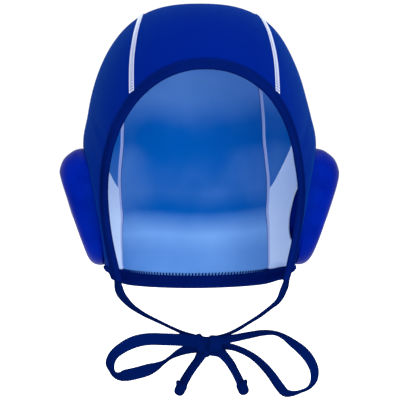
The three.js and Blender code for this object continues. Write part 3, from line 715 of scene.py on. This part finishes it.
# The chin tie is two whole tapes, each from inside the face binding's end through the bow to its tail.
# Rows are (x, y, z, roll) from the knot's middle.
tie = {
    "width": 8.6, "thickness": 1.5, "startThickness": 3.4, "startFade": (8, 22), "spacing": 0.42,
    "scallop": 0.22, "scallopPitch": 1.7,
    "chinLeft": [
        (-62.2, 21, 49.7, 75), (-60.7, 21.1, 42.9, 72), (-59.8, 20.6, 38, 52), (-58.3, 20, 34.1, 48),
        (-55.6, 19, 30.5, 52), (-50.6, 17, 25.5, 62), (-41.6, 13.8, 19.8, 70), (-33.6, 11.1, 16, 74),
        (-23.8, 8.4, 11.4, 76), (-15.3, 5.6, 7.7, 70), (-7.1, 3.1, 4.4, 50),
    ],
    "chinRight": [
        (58.6, 21, 49.7, -75), (57, 21.1, 42.9, -72), (55.9, 20.7, 39.1, -58), (54.4, 20.2, 35.5, -54),
        (52.8, 19.6, 31.9, -56), (50.3, 18.6, 28.4, -60), (46.2, 17, 25.1, -66), (38.2, 13.6, 19.4, -68),
        (30.2, 11, 14.7, -72), (22.8, 8.3, 10.5, -70), (15, 5.6, 7.1, -71), (7.1, 3.1, 4.4, -60),
    ],
    "turnLeft": [(-0.8, 1.8, 2.2, 30), (1.8, -0.6, 1.2, 10), (-2.3, -3, 1, 0)],
    "turnRight": [(0.8, 1.8, 2.2, -30), (-1.8, -0.6, 1.2, -10), (2.3, -3, 1, -10)],
    "loopLeft": [
        (-8.8, -3.2, 2.8, 10), (-17.6, -5, 4.1, 4), (-28.6, -6.5, 4.7, 0), (-39.5, -7.5, 5, 0),
        (-48.4, -8.5, 3.6, 8), (-56.8, -9.5, -0.1, 26), (-63.5, -10, -5.4, 38), (-66, -9.8, -11.2, 42),
        (-64.3, -8.8, -17, 64), (-60.3, -7.4, -19.7, 40), (-54.5, -6.4, -19.5, 6), (-47.7, -5.6, -18.2, -4),
        (-40.9, -4.6, -16.4, 4), (-35, -3.4, -14.4, 38), (-29.5, -2.4, -11.4, 66), (-24.7, -1.6, -8.1, 68),
        (-19.2, -0.8, -4.9, 50), (-12.7, 0, -2.6, 32), (-7.6, 0.4, -1.7, 24),
    ],
    "loopRight": [
        (8.8, -3.2, 3.1, -50), (19.3, -5, 5.3, -58), (28.7, -6.5, 7.3, -62), (37.8, -7.2, 8.9, -68),
        (45.8, -7.6, 8.8, -74), (52, -8, 6.4, -66), (58.2, -8.8, 2, -48), (64.9, -9.6, -3.4, -34),
        (70.1, -10, -9.8, -32), (73, -10, -17, -38), (72.6, -9.6, -23.6, -50), (69.4, -9.2, -28.4, -66),
        (64, -8.6, -31, -70), (58.9, -8.2, -32.4, -60), (53.4, -7.6, -32, -44), (49.1, -6.4, -27.3, -40),
        (44.2, -4.6, -20.3, -44), (38.7, -3, -13.9, -48), (32, -1.8, -8, -54), (24.6, -0.8, -3.9, -56),
        (17.1, -0.2, -1.3, -54), (9.5, 0.5, -0.5, -40),
    ],
    "backLeft": [(-3.3, 1, -1.2, 20), (-0.4, -0.6, -2.2, 14)],
    "backRight": [(3.6, 1, -1.2, -10), (1.2, -0.6, -2.4, -10)],
    "tailLeft": [
        (-3.1, -2.3, -5.5, 30), (-6.1, -4.2, -10, 48), (-9.4, -5.4, -14.2, 50), (-12.3, -6.2, -18.3, 50),
        (-15.1, -6.6, -22.9, 46), (-16.7, -6.8, -26.1, 46),
    ],
    "tailRight": [
        (8.7, -2.3, -4.5, -30), (13.4, -4.2, -8.8, -44), (16.4, -5.4, -12.8, -44), (18.8, -6.2, -17.1, -48),
        (21.3, -6.6, -21.9, -48), (23, -6.8, -25.8, -46),
    ],
}
knot = {
    "centre": (1.8, -63.0, -236.2), "core": (6.5, 3.2, 5.4),
    "bands": [  # from the centre, radii, tilt, width, thickness, lean
        ((5.8, -0.4, 0.5), (4.9, 5.5), 5, 8.8, 1.7, 4),
        ((-4.4, -0.2, 0.8), (4.5, 6.4), -24, 6.0, 1.6, -16),
    ],
    "nubFrom": (-0.2, -2.4, -5.2), "nubHalf": (2.7, 2.4, 2.7),
    "endHalf": (4.2, 3.7, 4.7), "sunk": 1.6, "endBandRadii": (3.7, 3.5), "endBandWidth": 3.6,
    "endBandThickness": 1.4, "endBandUp": 0.4, "earUp": 3.6, "earOut": 3.4, "earRise": 0.6,
    "earHalf": (1.5, 1.6, 1.9),
}


# All the rows of one side's tape in place: down the chin, round the knot, the loop, and the tail.
def tieRows(name):
    parts = ("chin", "turn", "loop", "back", "tail")
    return [(*(np.array(knot["centre"]) + row[:3]), row[3]) for part in parts for row in tie[part + name]]


# Smooth curve through rows of numbers, spaced by the root of each chord.
def smoothRows(rows, count):
    rows = np.asarray(rows, float)
    chord = np.sqrt(np.linalg.norm(np.diff(rows[:, :3], axis=0), axis=1))
    key = np.concatenate([[0], np.cumsum(chord)])
    slopes = np.gradient(rows, key, axis=0)
    spots = np.linspace(0, key[-1], count)
    row = np.clip(np.searchsorted(key, spots, side="right") - 1, 0, len(key) - 2)
    span = (key[row + 1] - key[row])[:, None]
    t = ((spots - key[row])[:, None]) / span
    return curveBetween(t, rows[row], span * slopes[row], rows[row + 1], span * slopes[row + 1])


def evenRows(rows, spacing):
    fine = smoothRows(rows, 4000)
    lengths = runLengths(fine[:, :3])
    spots = np.linspace(0, lengths[-1], int(lengths[-1] / spacing) + 1)
    return readAlong(spots, lengths, fine), lengths[-1]


def tapeFrames(rows):
    centre, roll = rows[:, :3], np.radians(rows[:, 3])[:, None]
    tangent = unit(np.gradient(centre, axis=0))
    flat = unit(np.cross(np.array([0.0, -1.0, 0.0]), tangent))
    wide = flat * np.cos(roll) + np.cross(tangent, flat) * np.sin(roll)
    return centre, wide, np.cross(tangent, wide)


def tapeSection(sides=9):
    across = np.sin(np.linspace(-math.pi / 2, math.pi / 2, sides))
    top = np.stack([across, 0.5 * np.sqrt(np.clip(1 - across ** 4, 0, 1))], -1)
    return np.concatenate([top, top[-2:0:-1] * [1, -1]])


def sweepTape(rows):
    rows, total = evenRows(rows, tie["spacing"])
    centre, wide, thin = tapeFrames(rows)
    along = np.linspace(0, total, len(rows))
    extra = tie["startThickness"] - tie["thickness"]
    thick = tie["thickness"] + extra * (1 - smoothStep(along, *tie["startFade"]))
    waves = np.abs(np.sin(math.pi * along / tie["scallopPitch"]))
    half = tie["width"] / 2 - tie["scallop"] + tie["scallop"] * waves
    shape = tapeSection()
    rings = (centre[:, None] + wide[:, None] * (half[:, None] * shape[:, 0])[..., None]
             + thin[:, None] * (thick[:, None] * shape[:, 1])[..., None])
    points, faces = tubeMesh(rings)
    weave = np.zeros(rings.shape)
    weave[..., 0] = shape[:, 0] * tie["width"] / 2
    weave[..., 1] = along[:, None]
    return points, faces, weave.reshape(-1, 3), centre, total


# The bow's knot: bands of tape round a core, and a nub of tape below.
def ringBand(centre, radii, tilt, width, thickness, lean=0.0, count=48):
    angle = 2 * math.pi * np.arange(count) / count
    shape = tapeSection(7)
    flat = np.zeros(count)
    base = np.stack([flat, np.cos(angle) * radii[0], np.sin(angle) * radii[1]], -1)
    out = unit(np.stack([flat, np.cos(angle) / radii[0], np.sin(angle) / radii[1]], -1))
    side = np.tile([1.0, 0, 0], (count, 1))
    spin = Matrix.Rotation(math.radians(lean), 3, "Z") @ Matrix.Rotation(math.radians(tilt), 3, "Y")
    rings = (base[:, None] + side[:, None] * (shape[:, 0] * width / 2)[None, :, None]
             + out[:, None] * (shape[:, 1] * thickness)[None, :, None]) @ np.array(spin).T + np.array(centre)
    weave = np.zeros(rings.shape)
    weave[..., 0] = shape[:, 0] * width / 2
    weave[..., 1] = (angle * radii[1])[:, None]
    return rings.reshape(-1, 3), gridFaces(count, len(shape), True, True).tolist(), weave.reshape(-1, 3)


def lump(centre, radii, along=None, rows=14, sides=22, swirl=0.0):
    polar = np.linspace(0.02, math.pi - 0.02, rows)
    angle = 2 * math.pi * np.arange(sides) / sides
    grid = np.stack([np.sin(polar)[:, None] * np.cos(angle), np.sin(polar)[:, None] * np.sin(angle),
                     np.cos(polar)[:, None] * np.ones(sides)], -1)
    grid *= (1 + swirl * np.sin(2 * angle[None] + 3 * polar[:, None]))[..., None]
    grid = grid * np.array(radii)
    if along is not None:
        turn = Vector((0, 0, -1)).rotation_difference(Vector(along)).to_matrix()
        grid = grid @ np.array(turn).T
    rings = grid + np.array(centre)
    points, faces = tubeMesh(rings)
    weave = np.zeros(rings.shape)
    weave[..., 0] = (angle * radii[0])[None]
    weave[..., 1] = (polar * radii[2])[:, None]
    return points, faces, weave.reshape(-1, 3)


def makeBow():
    middle = np.array(knot["centre"])
    parts = [lump(middle, knot["core"])]
    parts += [ringBand(middle + apart, *shape) for apart, *shape in knot["bands"]]
    parts.append(lump(middle + knot["nubFrom"], knot["nubHalf"], swirl=0.08))
    return place(makeJoined("bowKnot", parts, tieNavy), "edge_tape", "bow_knot")


def makeEndKnot(name, node, route):
    before, last = np.array(route[-2][:3]), np.array(route[-1][:3])
    along = unit(last - before)
    centre = last + along * (knot["endHalf"][2] - knot["sunk"])
    ear = centre - along * knot["earUp"] + np.array([np.sign(along[0]) * knot["earOut"], 0, knot["earRise"]])
    tilt = 90 - math.degrees(math.atan2(along[2], along[0]))
    parts = [
        lump(centre, knot["endHalf"], along, swirl=0.1),
        ringBand(centre - along * knot["endBandUp"], knot["endBandRadii"], tilt, knot["endBandWidth"],
                 knot["endBandThickness"]),
        lump(ear, knot["earHalf"], swirl=0.1),
    ]
    return place(makeJoined(name, parts, tieNavy), "edge_tape", node)


bowKnot = makeBow()
for sideSign, sideName in leftAndRight:
    low = sideName.lower()
    rows = tieRows(sideName)
    points, faces, weave, centre, total = sweepTape(rows)
    tape = place(makeMesh("tieTape" + sideName, points, faces, [tieNavy], None, weave), "edge_tape",
                 "chin_tie_" + low, "bow_loop_" + low, "tie_tail_" + low)
    endKnot = makeEndKnot("endKnot" + sideName, "end_knot_" + low, rows[-2:])
    print("tie made:", sideName, round(total, 1), "mm")


def makeCentrePanel(columns=72, rows=190):
    grid = panelLines(np.linspace(-1, 1, columns + 1), -panel["slot"] / 2, rows)
    weave = np.zeros(grid.shape)
    lengths = runLengths(grid[:, columns // 2])
    # the weave's third part is the painted light and shade of the cloth's inside
    weave[..., 0], weave[..., 1], weave[..., 2] = grid[..., 0], lengths[:, None], paintedShadingOf(grid)
    outer, inner = onCloth(grid, panel["thickness"]), onCloth(grid, 0.0)
    piece = addWall("clothCentre", outer, inner, [clothOutside, clothInside], weave)
    return place(piece, "cap_cloth", "centre_panel")


def sideOutline(seamSteps=120, napeSteps=44, cheekSteps=28, browSteps=36):
    seam = panelLines([1.0], panel["slot"] / 2, seamSteps)[:, 0]
    seamEnd, browEnd = float(napeAngleAt(seam[-1, 0])), float(browAngleAt(seam[0, 0]))
    nape = napePoint(seamEnd + (cornerAngle - seamEnd) * np.arange(1, napeSteps + 1) / napeSteps)
    cheek = cheekPoint(1 - np.arange(1, cheekSteps + 1) / cheekSteps)
    brow = browPoint(browEnd * np.arange(1, browSteps) / browSteps)
    return np.concatenate([seam, nape, cheek, brow])


def neckPoint(towards, clearance):
    dy, dz = towards[..., 1] - guard["y"], towards[..., 2] + guard["level"]
    grow = 1 / guardShare(towards[..., 1], towards[..., 2]) + clearance / np.hypot(dy, dz)
    y, z = guard["y"] + dy * grow, dz * grow - guard["level"]
    return np.stack([formX(y, z), y, z], -1)


def makeSidePanel(side, name):
    edge = sideOutline()
    rim = neckPoint(edge, guard["clearance"])
    share = (np.arange(0, 35) / 34) ** 1.25
    grid = seat(rim[:, None] + (edge - rim)[:, None] * share[None, :, None], 20)
    weave = np.zeros(grid.shape)
    # the weave's third part is the painted light and shade of the cloth's inside
    weave[..., 0], weave[..., 1], weave[..., 2] = grid[..., 1], grid[..., 2], paintedShadingOf(grid)
    grid = mirrorX(grid, side)
    outer, inner = onCloth(grid, panel["thickness"]), onCloth(grid, 0.0)
    piece = addWall("clothSide" + name, outer, inner, [clothOutside, clothInside], weave, wrapRows=True)
    return place(piece, "cap_cloth", "side_panel_" + name.lower())


makeCentrePanel()
for sideSign, sideName in leftAndRight:
    makeSidePanel(sideSign, sideName)
print("cloth panels made")

tapeSet = {"thickness": 1.0, "faceWidth": 7.0, "napeWidth": 9.4, "gap": 0.4, "flare": 0.45,
           "flareStart": 34, "flareFull": 12}  # how far from its ends the face tape widens


def tapeProfile(width, puff=0.12, around=10):
    leg = width - tapeSet["gap"] - tapeSet["thickness"]
    top, low = panel["thickness"] + tapeSet["gap"], -tapeSet["gap"]
    thick = tapeSet["thickness"]
    across = np.linspace(leg - 0.3, 0.4, 9)
    bulge = puff * np.sin(math.pi * (across + 1) / (leg + 1))
    outer = [(leg, top + 0.1), (leg, top + thick - 0.3), (leg - 0.12, top + thick - 0.1)]
    outer += list(zip(across, top + thick - 0.02 + bulge))
    middle, radius = (top + low) / 2, (top - low) / 2 + thick
    turn = np.linspace(math.pi / 2, 3 * math.pi / 2, around + 2)[1:-1]
    fold = [(1.4 * math.cos(a), middle + radius * math.sin(a)) for a in turn]
    under = list(zip(across[::-1], low - thick + 0.02 - bulge[::-1]))
    under += [(leg - 0.12, low - thick + 0.1), (leg, low - thick + 0.3), (leg, low - 0.1)]
    inside = [(leg - 0.3, low), (leg / 2, low), (0.1, low), (0.1, top), (leg / 2, top), (leg - 0.3, top)]
    return np.array(outer + fold + under + inside)


def foldedTape(name, track, width, start, end, spacing, node, flare=0.0):
    profile = tapeProfile(width)
    count = int((end - start) / spacing)
    along = np.linspace(start, end, count)
    total = track["total"]
    fromMiddle = np.maximum(along, total - along)
    grow = 1 + flare * smoothStep(fromMiddle, total - tapeSet["flareStart"], total - tapeSet["flareFull"])
    across = np.where(profile[None, :, 0] > 0, profile[None, :, 0] * grow[:, None], profile[None, :, 0])
    seated = trackPoint(track, along[:, None], across)
    rings = onCloth(seated, np.broadcast_to(profile[:, 1], seated.shape[:-1]))
    points, faces = tubeMesh(rings)
    weave = np.zeros(rings.shape)
    weave[..., 0], weave[..., 1] = runLengths(profile), along[:, None]
    return place(makeMesh(name, points, faces, [tapeNavy], None, weave.reshape(-1, 3)), "edge_tape", node)


foldedTape("faceTape", faceTrack, tapeSet["faceWidth"], 0, faceTrack["total"], 1.2, "face_binding",
           tapeSet["flare"])
cut = tapeSet["faceWidth"] * (1 + tapeSet["flare"]) - 2  # the nape tape ends under the face tape
foldedTape("napeTape", napeTrack, tapeSet["napeWidth"], cut, napeTrack["total"] - cut, 1.3, "nape_binding")


# Stitches in a row along a track: a run of short threads lying on the surface. Across and height are one
# number, or a pair from each stitch's start to its end.
def stitchRow(track, span, pitch, across, height, fill, rise, half, side=1, steps=5):
    start, end = span
    count = int((end - start) / pitch)
    first = start + (end - start) * np.arange(count)[:, None] / count
    share = np.linspace(0, 1, steps)[None]
    along = first + share * pitch * fill
    (acrossFrom, acrossTo), (heightFrom, heightTo) = np.broadcast_to(across, 2), np.broadcast_to(height, 2)
    across = acrossFrom + (acrossTo - acrossFrom) * share + np.zeros(along.shape)
    seated = mirrorX(trackPoint(track, along, across), side)
    height = heightFrom + (heightTo - heightFrom) * share + rise * np.sin(math.pi * share)
    points = onCloth(seated, np.broadcast_to(height, along.shape))
    return threadMesh(points, formNormal(seated), half, half * 0.8)


def addStitches(name, track, span, rows):
    parts = [stitchRow(track, span, *row) for row in rows]
    return place(makeJoined(name, parts, darkThread), "edge_tape")


top = panel["thickness"] + tapeSet["gap"] + tapeSet["thickness"]
legFace = tapeSet["faceWidth"] - 1.4
legNape = tapeSet["napeWidth"] - 1.4
# rows of pitch, across, height, fill, rise and half width
addStitches("faceTapeStitch", faceTrack, (3, faceTrack["total"] - 3), [
    (2.6, legFace - 1.1, top, 0.72, 0.2, 0.24),
    (2.6, legFace - 1.1, -1.5, 0.72, -0.2, 0.24),
    (2.2, legFace + 1.3, 1.2, 0.75, 0.15, 0.2),
])
# the zigzag's upper turns stand past the tape's edge as a row of teeth, and its legs cross the tape below
teeth, legs = (legNape - 0.7, legNape + 2.3), (legNape - 2.8, legNape - 0.7)
addStitches("napeZigzag", napeTrack, (cut + 1, napeTrack["total"] - cut - 3), [
    (2.5, teeth, (-1.55, -0.35), 0.15, -0.1, 0.6),
    (2.5, legs, -1.55, 0.6, -0.15, 0.34),
    (2.5, teeth, (2.7, 1.55), 0.15, 0.1, 0.6),
    (2.5, legs, 2.7, 0.6, 0.15, 0.34),
])
print("tapes made")

seamSet = {"width": 3.8, "innerWidth": 3.2, "web": 0.3, "pitch": 2.05, "threadHalf": 0.36, "rise": 0.3,
           "innerPitch": 2.2, "linePitch": 2.0, "endGap": 3}


# A row of points from an edge to the middle, and on to the other edge.
def bothSides(points):
    return points + [(-across, height) for across, height in points[-2::-1]]


def makeSeam(side, name):
    faceClear = distanceTo(faceTrack["points"], seamTrack["points"])
    napeClear = distanceTo(napeTrack["points"], seamTrack["points"])
    inside = (faceClear > legFace - 2.0) & (napeClear > legNape - 2.0)
    lengths = seamTrack["lengths"][inside]
    start, end = lengths[0], lengths[-1]
    along = np.linspace(start, end, int((end - start) / 1.2))
    rising = smoothStep(along, start + 1.5, start + 5)
    falling = smoothStep(-along, -(end - 1.5), -(end - 5))
    low = 1 - np.minimum(rising, falling)
    half, innerHalf, web = seamSet["width"] / 2, seamSet["innerWidth"] / 2, seamSet["web"]
    outside = bothSides([(half, 1.25), (half - 0.1, 1.5), (half - 0.5, 1.62), (0, 1.7)])
    below = bothSides([(-innerHalf, -0.05), (0.3 - innerHalf, -0.5), (0, -0.6)])
    profile = np.array(outside + [(-web, 1.22), (-web, -0.02)] + below + [(web, -0.02), (web, 1.22)])
    heights = profile[None, :, 1] * np.ones((len(along), 1))
    heights = np.where(heights > 1.3, heights - low[:, None] * 0.3 * (heights - 1.3) / 0.4, heights)
    seated = mirrorX(trackPoint(seamTrack, along[:, None], profile[None, :, 0]), side)
    rings = onCloth(seated, heights)
    points, faces = tubeMesh(rings)
    weave = np.zeros(rings.shape)
    weave[..., 0], weave[..., 1] = profile[:, 0], along[:, None]
    firstBelow = len(outside) + 2
    corner = np.arange((len(along) - 1) * len(profile)) % len(profile)
    isBelow = (corner >= firstBelow) & (corner < firstBelow + len(below))
    bandKinds = np.where(isBelow, 1, 2).tolist() + [2, 2]
    span, reach = (start + seamSet["endGap"], end - seamSet["endGap"]), half - 0.2
    rows = [  # pitch, across, height, fill, rise, half width, steps, material
        (seamSet["pitch"], (-reach, reach), 1.68, 0.9, seamSet["rise"], seamSet["threadHalf"], 7, 0),
        (seamSet["pitch"], -reach, 1.6, 0.84, 0.16, 0.32, 5, 0),
        (seamSet["pitch"], reach, 1.6, 0.84, 0.16, 0.32, 5, 0),
        (seamSet["innerPitch"], (-1.2, 1.2), -0.62, 0.8, -0.25, 0.26, 5, 1),
        (seamSet["linePitch"], innerHalf + 0.2, -0.15, 0.96, -0.12, 0.3, 5, 3),
    ]
    parts = [(points, faces, weave.reshape(-1, 3))]
    parts += [stitchRow(seamTrack, span, *row, side, steps) for *row, steps, _ in rows]
    points, faces, kinds, weave = joinParts(parts, [bandKinds] + [row[-1] for row in rows])
    materials = [seamThread, seamInside, clothOutside, darkThread]
    piece = makeMesh("flatlock" + name, points, faces, materials, kinds, weave)
    return place(piece, "seam_thread", "seam_" + name.lower())


for sideSign, sideName in leftAndRight:
    makeSeam(sideSign, sideName)
print("seams made")

# Ear guards: moulded cups with a neck and a hidden flange.
guardRings = [  # up, down, half length, stand off above and below, as shares
    (0.945, 0.962, 0.997, 0.26, 0.13), (0.912, 0.972, 0.985, 0.45, 0.33), (0.805, 0.94, 0.94, 0.745, 0.492),
    (0.687, 0.863, 0.87, 0.908, 0.6), (0.549, 0.748, 0.75, 1.0, 0.652), (0.236, 0.435, 0.4, 0.927, 0.757),
]
guardFace = {"down": 0.1, "stand": 0.862, "tip": 0.02}


def guardRing(row, inset, count):
    up, down = guard["halfHeight"] * row[0] - inset, guard["halfHeight"] * row[1] - inset
    half = guard["halfLength"] * row[2] - inset
    topX = formX(guard["y"], up - guard["level"]) + guard["standOff"] * row[3] - inset
    lowX = formX(guard["y"], -down - guard["level"]) + guard["standOff"] * row[4] - inset
    angle = 2 * math.pi * np.arange(count) / count
    turn = np.stack([np.cos(angle), np.sin(angle)])
    across, tall = np.sign(turn) * np.abs(turn) ** (2 / guard["power"])
    z = tall * np.where(tall > 0, up, down)
    x = lowX + (topX - lowX) * (z + down) / (up + down)
    return np.stack([x, guard["y"] + half * across, z - guard["level"]], -1)


def guardFoot(grow, height, count):
    ring = guardRing((guard["footUp"], guard["footDown"], 1, 0, 0), -grow, count)
    x = formX(ring[:, 1], ring[:, 2])
    seated = np.stack([x, ring[:, 1], ring[:, 2]], -1)
    return np.stack([x + height / formNormal(seated)[:, 0], ring[:, 1], ring[:, 2]], -1)


# Smooth surface through rings, with steps between each pair.
def loft(rings, steps):
    rings = np.asarray(rings, float)
    chord = np.linalg.norm(np.diff(rings, axis=0), axis=-1).mean(1)
    key = np.concatenate([[0], np.cumsum(chord)])
    ahead = np.diff(rings, axis=0) / chord[:, None, None]
    through = (rings[2:] - rings[:-2]) / (key[2:] - key[:-2])[:, None, None]
    slopes = np.concatenate([ahead[:1], through, ahead[-1:]])
    result = [rings[0]]
    for row in range(len(rings) - 1):
        for t in np.arange(1, steps + 1) / steps:
            result.append(curveBetween(t, rings[row], chord[row] * slopes[row], rings[row + 1],
                                       chord[row] * slopes[row + 1]))
    return np.array(result)


def makeGuard(side, name, count=120):
    wall, flat = guard["wall"], guard["flangeThickness"]
    faceZ = -guard["level"] - guard["halfHeight"] * guardFace["down"]
    faceX = formX(guard["y"], faceZ) + guard["standOff"] * guardFace["stand"]
    outer = [guardRing(row, 0, count) for row in guardRings]
    inner = [guardRing(row, wall, count) for row in guardRings]
    tip = np.array([faceX, guard["y"], faceZ])
    outerTip = tip + (outer[-1] - tip) * guardFace["tip"]
    innerTip = tip - [wall, 0, 0] + (inner[-1] - tip) * guardFace["tip"]
    outside = loft([guardFoot(0, guard["neckHeight"], count)] + outer + [outerTip], 7)[::-1]
    inside = loft([guardFoot(-wall, guard["neckHeight"] - wall, count)] + inner + [innerTip], 5)
    wide = guard["flangeWidth"]
    flange = [guardFoot(grow, height, count)
              for grow, height in ((0, flat), (wide, flat), (wide, 0), (-wall, 0))]
    points, faces = tubeMesh(mirrorX(np.concatenate([outside, flange, inside]), side))
    piece = makeMesh("earGuard" + name, points, faces, [guardPlastic], None, np.zeros((len(points), 3)), 55)
    return place(piece, "guard_plastic", "ear_guard_" + name.lower())


for sideSign, sideName in leftAndRight:
    makeGuard(sideSign, sideName)
print("guards made")

facing = {"topLevel": 88.0, "shoulderY": 42.0, "backLevel": 136.0, "backPitch": 200.0, "clearance": 0.5,
          "holeLevel": 145.0, "holeHalfLength": 31.0, "holeHalfHeight": 23.0, "holePower": 2.3,
          "thickness": 0.9, "inset": 0.3, "rays": 200, "step": 0.25}


def facingLines():
    seamLine = panelLines([1.0], 0, 300)[:, 0]
    seamY = pitchPoint(seamHalf(facing["backPitch"]), facing["backPitch"])[1]
    angle = 2 * math.pi * np.arange(facing["rays"]) / facing["rays"]
    ray = np.stack([np.cos(angle), np.sin(angle)], -1)
    holeLength, holeHeight, power = facing["holeHalfLength"], facing["holeHalfHeight"], facing["holePower"]
    rim = (np.abs(ray[:, 0] / holeLength) ** power + np.abs(ray[:, 1] / holeHeight) ** power) ** (-1 / power)
    reach = rim.copy()
    going = np.ones(len(rim), bool)
    while going.any():
        y = guard["y"] + ray[:, 0] * (reach + facing["step"])
        z = ray[:, 1] * (reach + facing["step"]) - facing["holeLevel"]
        p = np.stack([formX(y, z), y, z], -1)
        share = np.maximum(0, (y - facing["shoulderY"]) / (seamY - facing["shoulderY"]))
        going &= z < -facing["topLevel"] - (facing["backLevel"] - facing["topLevel"]) * share
        for line, half in ((faceTrack["points"], legFace), (napeTrack["points"], legNape),
                           (seamLine, seamSet["innerWidth"] / 2)):
            going &= distanceTo(line, p) > half + facing["clearance"]
        going &= p[:, 0] > seamHalf(pitchOf(p))
        reach = np.where(going, reach + facing["step"], reach)
    return ray, rim, reach


def makeFacing(side, name, rows=14):
    ray, rim, reach = facingLines()
    share = np.linspace(0, 1, rows)[None]
    radius = rim[:, None] + (reach - rim)[:, None] * share
    y = guard["y"] + ray[:, :1] * radius
    z = ray[:, 1:] * radius - facing["holeLevel"]
    grid = mirrorX(np.stack([formX(y, z), y, z], -1), side)
    weave = np.zeros(grid.shape)
    weave[..., 0], weave[..., 1] = y, z
    outer = onForm(grid, np.full(y.shape, -facing["inset"]))
    inner = onForm(grid, np.full(y.shape, -facing["inset"] - facing["thickness"]))
    piece = addWall("earFacing" + name, outer, inner, [facingCloth], weave, wrapRows=True)
    return place(piece, "facing_cloth", "ear_facing_" + name.lower())


for sideSign, sideName in leftAndRight:
    makeFacing(sideSign, sideName)
print("facings made")

studio = {
    "floorLevel": -0.31, "floorHalf": 6.0, "world": 0.68, "floorGlow": 0.3, "view": "Standard",
    "lights": [  # name, place, aimed at, width and height, watts
        ("key", (0.5, -1.5, 1.1), (0, 0, -0.15), (1.2, 0.8), 14),
        ("front", (0.1, -1.7, -0.1), (0, 0, -0.13), (0.9, 0.7), 18),
        ("topFill", (0.0, 0.1, 1.3), (0, 0, -0.1), (1.2, 1.2), 9),
    ],
}


def makeStage():
    half, level = studio["floorHalf"], studio["floorLevel"]
    data = bpy.data.meshes.new("floor")
    corners = [(x * half, y * half, level) for x, y in ((-1, -1), (1, -1), (1, 1), (-1, 1))]
    data.from_pydata(corners, [], [(0, 1, 2, 3)])
    floor = bpy.data.objects.new("floor", data)
    bpy.context.scene.collection.objects.link(floor)
    material = bpy.data.materials.new("floorPaper")
    material.use_nodes = True
    shader = material.node_tree.nodes["Principled BSDF"]
    shader.inputs["Base Color"].default_value = (0.9, 0.9, 0.9, 1)
    shader.inputs["Roughness"].default_value = 0.9
    shader.inputs["Emission Color"].default_value = (1, 1, 1, 1)
    path = material.node_tree.nodes.new("ShaderNodeLightPath")
    glow = mapRange(material.node_tree, path.outputs["Is Camera Ray"], 0.0, 1.0, studio["floorGlow"], 1.0)
    material.node_tree.links.new(glow, shader.inputs["Emission Strength"])
    data.materials.append(material)


def makeWorld():
    world = bpy.data.worlds.new("studio")
    world.use_nodes = True
    tree = world.node_tree
    ground = tree.nodes["Background"]
    path = tree.nodes.new("ShaderNodeLightPath")
    strength = mapRange(tree, path.outputs["Is Camera Ray"], 0.0, 1.0, studio["world"], 1.05)
    tree.links.new(strength, ground.inputs["Strength"])
    ground.inputs["Color"].default_value = (1, 1, 1, 1)
    bpy.context.scene.world = world


def areaLight(name, location, target, size, power):
    data = bpy.data.lights.new(name, "AREA")
    data.shape = "RECTANGLE"
    data.size, data.size_y = size
    data.energy = power
    addAimed(name, data, location, Vector(target) - Vector(location))


makeStage()
makeWorld()
for light in studio["lights"]:
    areaLight(*light)
bpy.context.scene.view_settings.view_transform = studio["view"]
print("stage and lights made")
